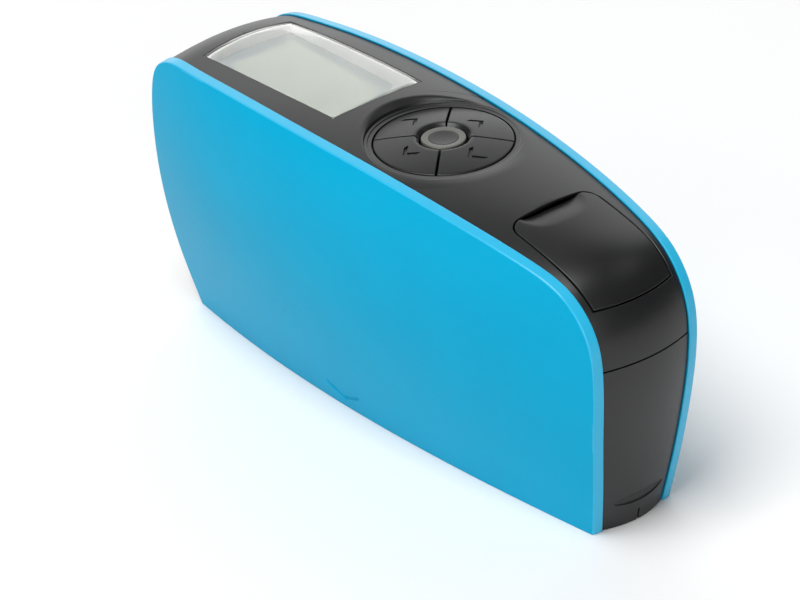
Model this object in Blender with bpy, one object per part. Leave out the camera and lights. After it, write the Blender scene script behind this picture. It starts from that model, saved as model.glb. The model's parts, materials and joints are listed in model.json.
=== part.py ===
"""Hand-held gloss meter: two bowed side shells around a dark centre housing.

Axes: +X runs from the display end to the battery end, +Z up, +Y to the left side.
Shapes are worked out in millimetres and written to the scene in metres.
"""

import math

import bmesh
import bpy
import numpy as np
from mathutils import Matrix, Vector

# ---------------------------------------------------------------- dimensions (mm)
MM = 0.001

# Side outline of the shells, (x, z), from the base at the display end over the top to the base at the battery end
OUTLINE = [
    (-72.3, 0.0), (-75.0, 13.0), (-75.9, 26.0), (-75.7, 38.5), (-75.6, 50.0),
    (-75.7, 58.4), (-74.3, 64.6), (-69.4, 67.9), (-61.0, 69.2), (-45.2, 70.2),
    (-15.2, 70.7), (11.8, 69.8), (39.0, 67.2), (57.3, 64.2), (68.8, 59.9),
    (75.0, 51.6), (76.1, 41.0), (74.4, 26.0), (72.3, 13.0), (69.6, 0.0),
]
# Half width of the centre section at its widest station, at four heights
WIDTH_HEIGHTS = (0.0, 20.0, 40.0, 60.0)
WIDTH_HALVES = (15.2, 20.2, 23.5, 22.4)
WIDEST_X = -18.0  # station of the greatest width
PLAN_BOW = 120.5  # distance over which the plan curve would close
PLAN_SKEW = -0.2

SHELL_EDGE = 2.5  # width of the edge band seen from above
SHELL_DROP = 0.35  # fall of the edge band to its outer crease
SHELL_GAP = 0.3  # side shell to housing
PEG_R, PEG_LEN = 1.5, 4.6
PEGS = ((-58.0, 14.0), (-58.0, 56.0), (40.0, 12.0), (46.0, 54.0))

RECESS = 0.4  # centre section below the shell edge
CROWN = 1.9  # bulge of the centre section across its width
CROWN_DIP, CROWN_RISE = 0.65, 0.3  # less of it at the top corner at the back, more over the battery door
CROWN_FLAT, FLAT_S = 0.55, 103.5  # less of it over the display, and the run length there
WALL = 2.0
FLOOR = 2.4
SEAM_Z, SEAM_GAP = 43.9, 0.4

WINDOW_BACK, WINDOW_FRONT, WINDOW_HALF = -62.1, -12.3, 12.5
WINDOW_BOW_BACK, WINDOW_BOW_FRONT, WINDOW_BOW_SIDE = 0.8, 0.7, 0.4
WINDOW_THICK = 0.95
PANEL_LOW, PANEL_TOP = 63.1, 66.3

KEY_X, KEY_Z, KEY_TILT = 11.0, 69.66, math.radians(1.0)
KEY_R, KEY_HOLE_R = 15.68, 16.03
KEY_DOME = 1.5  # rise of the keys from the rim to the middle
KEY_GAP = 0.5
KEY_THICK = 2.1
KEY_TRAVEL = 0.6
KEY_FLANGE_R = 16.9
WELL_TOP_R, WELL_R, WELL_DEPTH = 6.3, 5.4, 1.0
BUTTON_R, BUTTON_CAP_R, BUTTON_HIGH = 5.0, 3.35, 0.88
BUTTON_TRAVEL = 0.5
MARK_HALF, MARK_DEEP, MARK_STROKE = 2.1, 0.45, 0.85

DOOR_S_BACK, DOOR_HALF, DOOR_Z_LOW = 187.0, 11.25, 56.8
DOOR_CORNER, DOOR_GAP, DOOR_THICK = 3.2, 0.35, 1.7
DOOR_TAPER, TAPER_S = 0.75, 200.0  # narrowing of each side at the lower seam, and where it starts
SCOOP_LONG, SCOOP_WIDE, SCOOP_DEEP = 6.5, 8.2, 1.5

SPOT_X = -7.0  # middle of the measured spot
SPOT_HALF_X, SPOT_HALF_Y = 17.0, 6.5
CHANNELS = (20.0, 60.0)  # beam angles from the vertical, degrees
BLOCK_R, BLOCK_HALF, CHAMBER_R, BORE_R = 34.0, 8.5, 13.0, 3.0

CELL_R, CELL_LEN, NUB_R, NUB = 5.2, 44.5, 1.9, 0.8
CELL_X = (62.5, 51.3)
CELL_Z = 12.6
TRAY_R, TRAY_WALL, TRAY_Z, TRAY_TOP = 6.1, 0.55, 10.0, 48.0
STRIP = (191.4, 206.0)  # run lengths of the door's contact strip

BOARD = (-62.0, 30.4, 15.0, 61.2, 62.8)  # back, front, half width, underside, top
POSTS = ((-67.5, 8.0), (-67.5, -8.0), (33.0, 7.5), (33.0, -7.5))
POST_R = 2.2
BOSSES = ((-5.0, 14.5), (-5.0, -14.5), (26.6, 12.6), (26.6, -12.6))
BOSS_R = 2.0
CRESCENT_Z, CRESCENT_HALF, CRESCENT_HIGH, CRESCENT_DEEP = 7.5, 7.9, 1.3, 0.85
BLOCK_SCREWS = ((-38.0, 5.6), (-38.0, -5.6), (24.0, 5.6), (24.0, -5.6))


# ---------------------------------------------------------------- scene and materials
for old in list(bpy.data.objects):
    bpy.data.objects.remove(old, do_unlink=True)


def material(name, colour, rough, metal=0.0, clear=0.0):
    made = bpy.data.materials.new(name)
    made.use_nodes = True
    shader = made.node_tree.nodes["Principled BSDF"]
    shader.inputs["Base Color"].default_value = (*colour, 1.0)
    shader.inputs["Roughness"].default_value = rough
    shader.inputs["Metallic"].default_value = metal
    shader.inputs["Transmission Weight"].default_value = clear
    made.diffuse_color = (*colour, 1.0)
    return made


BLUE = material("blue_plastic", (0.0, 0.40, 0.70), 0.38)
DARK = material("dark_plastic", (0.045, 0.047, 0.05), 0.45)
KEYS = material("key_plastic", (0.05, 0.052, 0.056), 0.42)
CLEAR = material("clear_plastic", (0.9, 0.93, 0.9), 0.05, clear=1.0)
PALE = material("pale_frame", (0.62, 0.62, 0.6), 0.5)
PANEL = material("display_panel", (0.56, 0.62, 0.55), 0.3)
LIGHT = material("light_ring", (0.27, 0.27, 0.24), 0.35)
RUBBER = material("grey_rubber", (0.2, 0.2, 0.21), 0.7)
GREEN = material("board_green", (0.02, 0.16, 0.07), 0.5)
BLACK = material("black_block", (0.012, 0.012, 0.013), 0.6)
STEEL = material("steel", (0.55, 0.56, 0.58), 0.3, metal=1.0)
LENS = material("lens_glass", (0.95, 0.97, 1.0), 0.02, clear=1.0)
CAN = material("sensor_can", (0.65, 0.6, 0.45), 0.3, metal=1.0)
LAMP = material("lamp_body", (0.75, 0.75, 0.7), 0.15, clear=0.6)
CELL = material("cell_wrap", (0.10, 0.12, 0.16), 0.35)


# ---------------------------------------------------------------- mesh helpers
def make(name, polygons, stuff):
    """One object from polygons given as corner coordinates; equal corners are shared."""
    index, points, faces = {}, [], []
    for polygon in polygons:
        ring = []
        for corner in polygon:
            key = tuple(int(round(float(c) * 1e4)) for c in corner)
            if key not in index:
                index[key] = len(points)
                points.append([float(c) for c in corner])
            if not ring or ring[-1] != index[key]:
                ring.append(index[key])
        if len(ring) > 1 and ring[0] == ring[-1]:
            ring.pop()
        if len(set(ring)) == len(ring) and len(ring) > 2:
            faces.append(ring)
    mesh = bpy.data.meshes.new(name)
    mesh.from_pydata(points, [], faces)
    body = bmesh.new()
    body.from_mesh(mesh)
    bmesh.ops.recalc_face_normals(body, faces=body.faces)
    if body.calc_volume(signed=True) < 0:
        bmesh.ops.reverse_faces(body, faces=body.faces)
    body.to_mesh(mesh)
    body.free()
    made = bpy.data.objects.new(name, mesh)
    bpy.context.scene.collection.objects.link(made)
    mesh.materials.append(stuff)
    return made


def between(outer, inner):
    """Polygons of the solid between two equal grids of points (rows, columns, 3)."""
    rows, columns = outer.shape[:2]
    polygons = []
    for i in range(rows - 1):
        for j in range(columns - 1):
            for grid in (outer, inner):
                polygons.append([grid[i, j], grid[i + 1, j], grid[i + 1, j + 1], grid[i, j + 1]])
    for i in range(rows - 1):
        for j in (0, columns - 1):
            polygons.append([outer[i, j], outer[i + 1, j], inner[i + 1, j], inner[i, j]])
    for j in range(columns - 1):
        for i in (0, rows - 1):
            polygons.append([outer[i, j], outer[i, j + 1], inner[i, j + 1], inner[i, j]])
    return polygons


def prism(name, ring, low, high, stuff, hole=None):
    """A plan outline of (x, y) points between two heights, with an optional hole of as many points."""
    n = len(ring)
    polygons = []
    for i in range(n):
        j = (i + 1) % n
        polygons.append([(*ring[i], low), (*ring[j], low), (*ring[j], high), (*ring[i], high)])
        if hole:
            polygons.append([(*hole[i], low), (*hole[j], low), (*hole[j], high), (*hole[i], high)])
            for z in (low, high):
                polygons.append([(*ring[i], z), (*ring[j], z), (*hole[j], z), (*hole[i], z)])
    if not hole:
        polygons += [[(*p, low) for p in ring], [(*p, high) for p in ring]]
    return make(name, polygons, stuff)


def turned(name, profile, stuff, sides=28, place=None):
    """A solid of revolution: (radius, height) pairs from axis to axis, or a closed ring of them."""
    closed = profile[0][0] > 0
    pairs = list(zip(profile, profile[1:]))
    if closed:
        pairs.append((profile[-1], profile[0]))
    polygons = []
    for k in range(sides):
        a, b = 2 * math.pi * k / sides, 2 * math.pi * (k + 1) / sides
        for (r0, h0), (r1, h1) in pairs:
            polygons.append(
                [
                    (r0 * math.cos(a), r0 * math.sin(a), h0),
                    (r0 * math.cos(b), r0 * math.sin(b), h0),
                    (r1 * math.cos(b), r1 * math.sin(b), h1),
                    (r1 * math.cos(a), r1 * math.sin(a), h1),
                ]
            )
    made = make(name, polygons, stuff)
    if place is not None:
        made.data.transform(place)
    return made


def box(name, low, high, stuff):
    (x0, y0, z0), (x1, y1, z1) = low, high
    return prism(name, [(x0, y0), (x1, y0), (x1, y1), (x0, y1)], z0, z1, stuff)


def boolean(target, tools, operation):
    """Applies an exact Boolean to the target with each tool, and removes the tools."""
    for tool in tools:
        step = target.modifiers.new("cut", "BOOLEAN")
        step.operation, step.solver, step.object = operation, "EXACT", tool
        graph = bpy.context.evaluated_depsgraph_get()
        graph.update()
        result = bpy.data.meshes.new_from_object(target.evaluated_get(graph))
        target.modifiers.clear()
        kept = list(target.data.materials)
        target.data = result
        result.materials.clear()
        for item in kept:
            result.materials.append(item)
        for face in result.polygons:
            face.material_index = 0
        bpy.data.objects.remove(tool, do_unlink=True)
    return target


def turn_y(angle):
    return Matrix.Rotation(angle, 4, "Y")


# ---------------------------------------------------------------- the shared surfaces
K = np.array(OUTLINE, float)
RUN = np.concatenate([[0.0], np.cumsum(np.linalg.norm(np.diff(K, axis=0), axis=1))])
S_END = RUN[-1]


def spline_bends(t, values):
    """Second derivatives of the natural cubic spline through the values."""
    n = len(t)
    step = np.diff(t)
    system, right = np.eye(n), np.zeros((n, values.shape[1]))
    for i in range(1, n - 1):
        system[i, i - 1 : i + 2] = step[i - 1], 2 * (step[i - 1] + step[i]), step[i]
        right[i] = 6 * ((values[i + 1] - values[i]) / step[i] - (values[i] - values[i - 1]) / step[i - 1])
    return np.linalg.solve(system, right)


BENDS = spline_bends(RUN, K)


def outline(s):
    """Point and outward normal on the side outline at the run length s."""
    i = int(np.clip(np.searchsorted(RUN, s) - 1, 0, len(RUN) - 2))
    h = RUN[i + 1] - RUN[i]
    a, b = (RUN[i + 1] - s) / h, (s - RUN[i]) / h
    point = a * K[i] + b * K[i + 1] + ((a**3 - a) * BENDS[i] + (b**3 - b) * BENDS[i + 1]) * h * h / 6
    slope = (K[i + 1] - K[i]) / h + (-(3 * a * a - 1) * BENDS[i] + (3 * b * b - 1) * BENDS[i + 1]) * h / 6
    slope = slope / np.linalg.norm(slope)
    return point, np.array([-slope[1], slope[0]])


def half_width(x, z):
    """Half width of the centre section, at the side shells' inner faces."""
    total = 0.0
    for i, zi in enumerate(WIDTH_HEIGHTS):
        share = WIDTH_HALVES[i]
        for j, zj in enumerate(WIDTH_HEIGHTS):
            if j != i:
                share = share * (z - zj) / (zi - zj)
        total += share
    d = x - WIDEST_X
    return total * (1 - (d / PLAN_BOW) ** 2 * (1 + PLAN_SKEW * d / 100))


def s_at(z, front):
    """Run length where the outline crosses the height z, at the back or at the front."""
    low, high = (S_END, S_END - 60) if front else (0.0, 50.0)
    for _ in range(50):
        middle = (low + high) / 2
        low, high = (middle, high) if outline(middle)[0][1] < z else (low, middle)
    return (low + high) / 2


def stations(start, end, count):
    """Run lengths spread more closely where the outline turns."""
    fine = np.linspace(start, end, 600)
    normals = np.array([outline(s)[1] for s in fine])
    turn = np.linalg.norm(np.diff(normals, axis=0), axis=1)
    weight = np.concatenate([[0], np.cumsum((fine[1] - fine[0]) / 9.0 + turn * 3.2)])
    return np.interp(np.linspace(0, weight[-1], count), weight, fine)


def edge_point(s, inset, base=None):
    point, normal = outline(s)
    if base is not None:
        normal = np.array([math.copysign(1.0, normal[0]), 0.0])
        point = np.array([point[0], base])
    return point + normal * inset, normal


def crown(normal, s):
    """Bulge of the centre section at its middle, for the outline's normal and run length there."""
    dip = CROWN_DIP * math.exp(-(((normal[0] + 0.6) / 0.25) ** 2))
    rise = CROWN_RISE * math.exp(-(((normal[0] - 0.5) / 0.3) ** 2))
    return CROWN - dip + rise - CROWN_FLAT * math.exp(-(((s - FLAT_S) / 17.0) ** 2))


def surface(s, y, inset=0.0):
    """Point on the centre section's outer face, at run length s and width y, set in along the normal."""
    point, normal = outline(s)
    edge = point + normal * -RECESS
    v = y / (half_width(*edge) - SHELL_GAP)
    spot = edge + normal * (crown(normal, s) * (1 - v * v) - inset)
    return np.array([spot[0], y, spot[1]])


def body(name, inset, side, base, stuff, rows, across, down):
    """The centre section as a closed solid, set in from the outline and from the shells."""
    start, end = s_at(base, False), s_at(base, True)
    runs = stations(start, end, rows)
    spread = np.sin(np.linspace(-math.pi / 2, math.pi / 2, across)) * 0.35 + np.linspace(-1, 1, across) * 0.65
    top = np.zeros((rows, across, 3))
    flank = np.zeros((rows, down, 2))
    for i, s in enumerate(runs):
        at_base = base if i in (0, rows - 1) else None
        edge, normal = edge_point(s, -inset, at_base)
        edge[1] = max(edge[1], base)
        half = half_width(*edge) - side
        for j, v in enumerate(spread):
            spot = edge + normal * crown(normal, s) * (1 - v * v)
            top[i, j] = spot[0], v * half, max(spot[1], base)
        flank[i, -1] = edge
    foot_back, foot_front = flank[0, -1], flank[-1, -1]
    for i in range(rows):
        share = (runs[i] - start) / (end - start)
        foot = foot_back + (foot_front - foot_back) * share
        for j in range(down - 1):
            flank[i, j] = foot + (flank[i, -1] - foot) * j / (down - 1)
    polygons = []
    for i in range(rows - 1):
        for j in range(across - 1):
            polygons.append([top[i, j], top[i + 1, j], top[i + 1, j + 1], top[i, j + 1]])
    for sign in (-1, 1):
        grid = np.array(
            [[(p[0], sign * (half_width(*p) - side), p[1]) for p in row] for row in flank]
        )
        for i in range(rows - 1):
            for j in range(down - 1):
                polygons.append([grid[i, j], grid[i + 1, j], grid[i + 1, j + 1], grid[i, j + 1]])
        if sign < 0:
            right = grid
    for i in range(rows - 1):
        polygons.append([right[i, 0], right[i + 1, 0], grid[i + 1, 0], grid[i, 0]])
    polygons.append(list(top[0]))
    polygons.append(list(top[-1]))
    return make(name, polygons, stuff)


# ---------------------------------------------------------------- side shells
def shell(name, sign):
    """A bowed side cover: outer face, slanting edge band, inner face, and locating pegs."""
    rows, down = 46, 8
    runs = stations(0.0, S_END, rows)
    # Rings from the inner face's rim to the outer face's rim: inset along the outline, and height over the inner face
    rings = ((0.2, 0.0), (0.0, 0.2), (SHELL_DROP - 0.05, SHELL_EDGE - 0.3), (SHELL_DROP + 0.25, SHELL_EDGE))
    rim = np.zeros((rows, len(rings), 3))
    for i, s in enumerate(runs):
        for k, (inset, rise) in enumerate(rings):
            point, _ = edge_point(s, -inset, 0.0 if i in (0, rows - 1) else None)
            point[1] = max(point[1], 0.0)
            rim[i, k] = point[0], half_width(*point) + rise, point[1]
    faces = []
    for column, rise in ((0, 0.0), (len(rings) - 1, SHELL_EDGE)):
        grid = np.zeros((rows, down, 3))
        ends = rim[0, column], rim[-1, column]
        for i in range(rows):
            foot = ends[0] + (ends[1] - ends[0]) * ((runs[i] - runs[0]) / (runs[-1] - runs[0]))
            for j in range(down):
                t = j / (down - 1)
                x, z = foot[0] + (rim[i, column, 0] - foot[0]) * t, foot[2] + (rim[i, column, 2] - foot[2]) * t
                grid[i, j] = x, half_width(x, z) + rise, z
        faces.append(grid)
    polygons = []
    for grid in faces:
        for i in range(rows - 1):
            for j in range(down - 1):
                polygons.append([grid[i, j], grid[i + 1, j], grid[i + 1, j + 1], grid[i, j + 1]])
    for i in range(rows - 1):
        for k in range(len(rings) - 1):
            polygons.append([rim[i, k], rim[i + 1, k], rim[i + 1, k + 1], rim[i, k + 1]])
        polygons.append([faces[0][i, 0], faces[0][i + 1, 0], faces[1][i + 1, 0], faces[1][i, 0]])
    for i in (0, rows - 1):
        polygons.append(list(rim[i]))
    polygons = [[(p[0], sign * p[1], p[2]) for p in polygon] for polygon in polygons]
    made = make(name, polygons, BLUE)
    pegs = []
    for x, z in PEGS:
        root = half_width(x, z)
        pegs.append(
            turned(
                "peg",
                [(0, 0.8), (PEG_R, 0.8), (PEG_R, -PEG_LEN + 0.5), (PEG_R - 0.5, -PEG_LEN), (0, -PEG_LEN)],
                BLUE,
                14,
                Matrix.Translation((x, sign * root, z)) @ Matrix.Rotation(-sign * math.pi / 2, 4, "X"),
            )
        )
    boolean(made, pegs, "UNION")
    # Measuring-spot chevron, engraved in the outer face just above the base
    arm, rise, stroke, deep = 5.9, 2.4, 1.1, 0.3
    points = [(-arm, 2.5 + rise), (0, 2.5), (arm, 2.5 + rise)]
    outer = [(x, z + stroke / 2) for x, z in points]
    inner = [(x, z - stroke / 2) for x, z in points]
    high, low = [], []
    for x, z in outer + inner[::-1]:
        y = half_width(SPOT_X + x, z) + SHELL_EDGE
        high.append((SPOT_X + x, sign * (y + 1.0), z))
        low.append((SPOT_X + x, sign * (y - deep), z))
    polygons = []
    for a, b in ((0, 1), (1, 2)):
        c, d = 5 - b, 5 - a
        polygons += [[high[a], high[b], high[c], high[d]], [low[a], low[b], low[c], low[d]]]
    for i in range(6):
        j = (i + 1) % 6
        polygons.append([high[i], high[j], low[j], low[i]])
    return boolean(made, [make("chevron", polygons, BLUE)], "DIFFERENCE")


side_shell_right = shell("side_shell_right", -1)
side_shell_left = shell("side_shell_left", 1)


# ---------------------------------------------------------------- keypad frame of reference
KEY_PLACE = Matrix.Translation((KEY_X, 0, KEY_Z)) @ turn_y(KEY_TILT)


# ---------------------------------------------------------------- housing halves
def post(x, y, r, low, high, sides=16):
    return turned("post", [(0, low), (r, low), (r, high), (0, high)], DARK, sides, Matrix.Translation((x, y, 0)))


cavity = body("cavity", RECESS + WALL, SHELL_GAP + WALL, FLOOR, DARK, 24, 5, 3)
kept = [turned("kept", [(0, -2.1), (20.2, -2.1), (20.2, 12), (0, 12)], DARK, 32, KEY_PLACE)]
kept += [post(x, y, POST_R, -5, 90) for x, y in POSTS]
kept += [post(x, y, BOSS_R, BOARD[4] + 0.3, 90, 12) for x, y in BOSSES]
boolean(cavity, kept, "DIFFERENCE")
housing = body("housing", RECESS, SHELL_GAP, 0.0, DARK, 44, 9, 3)
boolean(housing, [cavity], "DIFFERENCE")

upper_housing = housing
upper_housing.name = "upper_housing"
lower_housing = upper_housing.copy()
lower_housing.data = upper_housing.data.copy()
lower_housing.name = "lower_housing"
bpy.context.scene.collection.objects.link(lower_housing)
boolean(upper_housing, [box("low", (-100, -50, -5), (100, 50, SEAM_Z + SEAM_GAP / 2), DARK)], "DIFFERENCE")
boolean(lower_housing, [box("high", (-100, -50, SEAM_Z - SEAM_GAP / 2), (100, 50, 90), DARK)], "DIFFERENCE")


# Pegs' clearance holes through the side walls
def peg_holes(target, wanted):
    tools = []
    for x, z in PEGS:
        if wanted(z):
            for sign in (-1, 1):
                tools.append(
                    turned(
                        "hole",
                        [(0, -6), (PEG_R + 0.3, -6), (PEG_R + 0.3, 4), (0, 4)],
                        DARK,
                        14,
                        Matrix.Translation((x, sign * half_width(x, z), z)) @ Matrix.Rotation(-sign * math.pi / 2, 4, "X"),
                    )
                )
    boolean(target, tools, "DIFFERENCE")


peg_holes(upper_housing, lambda z: z > SEAM_Z)
peg_holes(lower_housing, lambda z: z < SEAM_Z)


# Display opening
def window_ring(grow):
    """The window's plan outline, (x, y), grown by a margin; its ends and sides are slightly bowed."""
    back, front, half = WINDOW_BACK - grow, WINDOW_FRONT + grow, WINDOW_HALF + grow
    n = 9
    ring = []
    for i in range(n):
        t = -1 + 2 * i / n
        ring.append((front + WINDOW_BOW_FRONT * (1 - t * t), half * t))
    for i in range(n):
        t = -1 + 2 * i / n
        ring.append((front + (back - front) * (t + 1) / 2, half + WINDOW_BOW_SIDE * (1 - t * t)))
    for i in range(n):
        t = 1 - 2 * i / n
        ring.append((back - WINDOW_BOW_BACK * (1 - t * t), half * t))
    for i in range(n):
        t = -1 + 2 * i / n
        ring.append((back + (front - back) * (t + 1) / 2, -half - WINDOW_BOW_SIDE * (1 - t * t)))
    return ring


boolean(upper_housing, [prism("opening", window_ring(0.0), 62, 80, DARK)], "DIFFERENCE")


# Keypad dish: stepped rings that run out where the top slopes down to meet them
boolean(
    upper_housing,
    [
        turned(
            "dish",
            [
                (0, -8), (KEY_HOLE_R, -8), (KEY_HOLE_R, -0.1), (16.5, -0.05), (16.6, 0.16), (17.0, 0.2),
                (17.1, 0.42), (17.4, 0.5), (17.9, 1.3), (18.5, 2.05), (19.2, 2.5), (20.4, 5.0), (0, 5.0),
            ],
            DARK,
            56,
            KEY_PLACE,
        )
    ],
    "DIFFERENCE",
)
# Room below for the keys' flanges
boolean(
    upper_housing,
    [turned("flange_room", [(0, -9), (KEY_FLANGE_R + 0.4, -9), (KEY_FLANGE_R + 0.4, -1.35), (0, -1.35)], DARK, 40, KEY_PLACE)],
    "DIFFERENCE",
)


# Battery door opening, and the door itself, laid out over the curved front in run length and width
def s_low(y):
    """Run length where the outer face comes down to the door's lower seam, at the width y."""
    low, high = S_END - 60, S_END
    for _ in range(40):
        middle = (low + high) / 2
        low, high = (middle, high) if surface(middle, y)[2] > DOOR_Z_LOW else (low, middle)
    return (low + high) / 2


def scoop_depth(along, y):
    """Depth of the finger scoop, at a distance along the door from its back edge."""
    side = abs(y) / SCOOP_WIDE
    if side >= 1 or along < -1:
        return 0.0
    reach = SCOOP_LONG * math.sqrt(1 - side**3)
    if along >= reach:
        return 0.0
    return SCOOP_DEEP * (1 - max(0.0, along) / reach) ** 1.6 * (1 - side**5)


def door_grid(grow, inset, spare, columns=15, rows=14):
    """Grid of points over the door's outline, grown by a margin, at a depth below the outer face.

    The scoop is pressed in too, less the spare depth; with no spare given it's left out.
    """
    half, corner = DOOR_HALF + grow, DOOR_CORNER + grow
    back = DOOR_S_BACK - grow
    angles = np.linspace(0, math.pi / 2, 5)
    left = -half + corner * (1 - np.cos(angles))
    middle = np.linspace(-half + corner, half - corner, columns - 8)[1:-1]
    widths = np.concatenate([left, middle, -left[::-1]])
    grid = np.zeros((rows, len(widths), 3))
    for j, y in enumerate(widths):
        over = max(0.0, abs(y) - (half - corner))
        start = back + corner - math.sqrt(max(0.0, corner**2 - over**2))
        low = s_low(y * (1 - DOOR_TAPER / half)) + grow
        for i in range(rows):
            s = start + (low - start) * (i / (rows - 1)) ** 1.15
            share = min(1.0, max(0.0, (s - TAPER_S) / (low - TAPER_S)))
            across = y * (1 - DOOR_TAPER / half * share**2)
            deep = inset
            if spare is not None:
                deep += max(0.0, scoop_depth(s - back, y) - spare)
            grid[i, j] = surface(s, across, deep)
    return grid


boolean(upper_housing, [make("door_opening", between(door_grid(DOOR_GAP, -3.0, None, 15, 12), door_grid(DOOR_GAP, 4.5, None, 15, 12)), DARK)], "DIFFERENCE")
# Fingernail pocket: the housing's lip over the scoop is thin, with a hollow under it
lip = [[surface(s, y, deep) for y in np.linspace(-7.4, 7.4, 5)] for s, deep in ((DOOR_S_BACK - 3.0, 1.0), (DOOR_S_BACK + 0.3, 0.4))]
low = [[surface(s, y, 4.0) for y in np.linspace(-7.4, 7.4, 5)] for s in (DOOR_S_BACK - 3.0, DOOR_S_BACK + 0.3)]
boolean(upper_housing, [make("pocket", between(np.array(lip), np.array(low)), DARK)], "DIFFERENCE")
battery_door = make("battery_door", between(door_grid(0.0, 0.0, 0.0, 17, 18), door_grid(0.0, DOOR_THICK, 0.7, 17, 18)), DARK)
HINGE = surface(s_low(0.0) + DOOR_GAP * 0.5, 0.0, -0.05)

# Bridging contact on the inside of the door, over the two cells
strip = []
for s in np.linspace(*STRIP, 8):
    strip.append([surface(s, y, DOOR_THICK + 0.3) for y in (-4.0, 4.0)])
strip = np.array(strip)
lower_strip = np.array([[surface(s, y, DOOR_THICK + 0.8) for y in (-4.0, 4.0)] for s in np.linspace(*STRIP, 8)])
door_contact = make("door_contact", between(strip, lower_strip), STEEL)
leaves = []
for x in CELL_X:
    # A pressed trough whose flat bottom meets the cell's end
    ends = []
    for side in (-1, 1):
        s = np.interp(x + side * 1.9, K[7:16, 0], RUN[7:16])
        ends.append(surface(s, 0.0, DOOR_THICK + 0.7))
    touch = CELL_Z + CELL_LEN + 0.3
    top = [(ends[0][0] + 0.2, ends[0][2]), (x - 0.9, touch + 0.4), (x + 0.9, touch + 0.4), (ends[1][0] - 0.2, ends[1][2])]
    low = [(ends[0][0] - 0.2, ends[0][2]), (x - 1.2, touch), (x + 1.2, touch), (ends[1][0] + 0.2, ends[1][2])]
    shape = top + low[::-1]
    polygons = []
    for a, b in ((0, 1), (1, 2), (2, 3)):
        for y in (-2.5, 2.5):
            polygons.append([(shape[i][0], y, shape[i][1]) for i in (a, b, 7 - b, 7 - a)])
    for a in range(8):
        b = (a + 1) % 8
        polygons.append([(shape[a][0], -2.5, shape[a][1]), (shape[b][0], -2.5, shape[b][1]), (shape[b][0], 2.5, shape[b][1]), (shape[a][0], 2.5, shape[a][1])])
    leaves.append(make("leaf", polygons, STEEL))
boolean(door_contact, leaves, "UNION")


# Screw holes in the posts, from below, with a deep seat for each head
def hole(x, y, r, low, high, sides=16):
    return turned("hole", [(0, low), (r, low), (r, high), (0, high)], DARK, sides, Matrix.Translation((x, y, 0)))


boolean(lower_housing, [turned("hole", [(0, -2), (1.95, -2), (1.95, 36.0), (1.35, 36.0), (1.35, 50), (0, 50)], DARK, 14, Matrix.Translation((x, y, 0))) for x, y in POSTS], "DIFFERENCE")
boolean(upper_housing, [hole(x, y, 1.15, 40, 52, 14) for x, y in POSTS], "DIFFERENCE")
boolean(upper_housing, [hole(x, y, 0.95, 60, 66.2, 10) for x, y in BOSSES], "DIFFERENCE")

# Measuring aperture and the optics screws' seats in the floor
boolean(
    lower_housing,
    [box("aperture", (SPOT_X - SPOT_HALF_X, -SPOT_HALF_Y, -2), (SPOT_X + SPOT_HALF_X, SPOT_HALF_Y, FLOOR + 2), DARK)]
    + [turned("seat", [(0, -1), (2.1, -1), (2.1, 1.3), (1.25, 1.3), (1.25, 5), (0, 5)], DARK, 14, Matrix.Translation((x, y, 0))) for x, y in BLOCK_SCREWS],
    "DIFFERENCE",
)

# Finger recess low on the front, a long lens that follows the bulge, and the centre mark under it
rings = []
for k in range(13):
    t = -math.cos(math.pi * k / 12)
    size = math.sqrt(max(0.0, 1 - t * t))
    ring = []
    for m in range(10):
        a = 2 * math.pi * m / 10
        s = s_at(CRESCENT_Z + CRESCENT_HIGH * size * math.cos(a), True)
        ring.append(surface(s, CRESCENT_HALF * t, CRESCENT_DEEP * size * math.sin(a)))
    rings.append(ring)
polygons = []
for upper, lower in zip(rings, rings[1:]):
    for m in range(10):
        n = (m + 1) % 10
        polygons.append([upper[m], lower[m], lower[n], upper[n]])
boolean(lower_housing, [make("crescent", polygons, DARK)], "DIFFERENCE")
x_front = surface(s_at(2.0, True), 0.0)[0]
boolean(lower_housing, [box("mark", (x_front - 0.75, -0.2, -1), (x_front + 3, 0.2, 3.9), DARK)], "DIFFERENCE")


# ---------------------------------------------------------------- display
def layer(name, top, low, ring_grow, stuff, hole_grow=None):
    """A sheet that follows the crowned top between two depths, trimmed to the window's outline."""
    start = np.interp(WINDOW_BACK - 7, K[7:13, 0], RUN[7:13])
    end = np.interp(WINDOW_FRONT + 7, K[7:13, 0], RUN[7:13])
    runs, widths = np.linspace(start, end, 10), np.linspace(-16.5, 16.5, 9)
    upper = np.array([[surface(s, y, top) for y in widths] for s in runs])
    if low < 40:
        lower = np.array([[surface(s, y, low) for y in widths] for s in runs])
    else:
        lower = upper.copy()
        lower[:, :, 2] = low
    made = make(name, between(upper, lower), stuff)
    ring = window_ring(ring_grow)
    tool = prism("trim", ring, 55, 85, stuff, window_ring(hole_grow) if hole_grow is not None else None)
    return boolean(made, [tool], "INTERSECT")


display_window = layer("display_window", 0.06, 0.06 + WINDOW_THICK, -0.12, CLEAR)
display_frame = layer("display_frame", 0.36 + WINDOW_THICK, PANEL_LOW, -0.3, PALE, -1.0)
ring = window_ring(-1.3)
display_panel = prism("display_panel", ring, PANEL_LOW, PANEL_TOP, PANEL)

# ---------------------------------------------------------------- keys, centre button, mat
SPLIT = KEY_GAP / 2


def key_rise(radius):
    """Height of the domed keys over the plane of their rim."""
    return KEY_DOME * (1 - (radius / KEY_R) ** 2)


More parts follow.
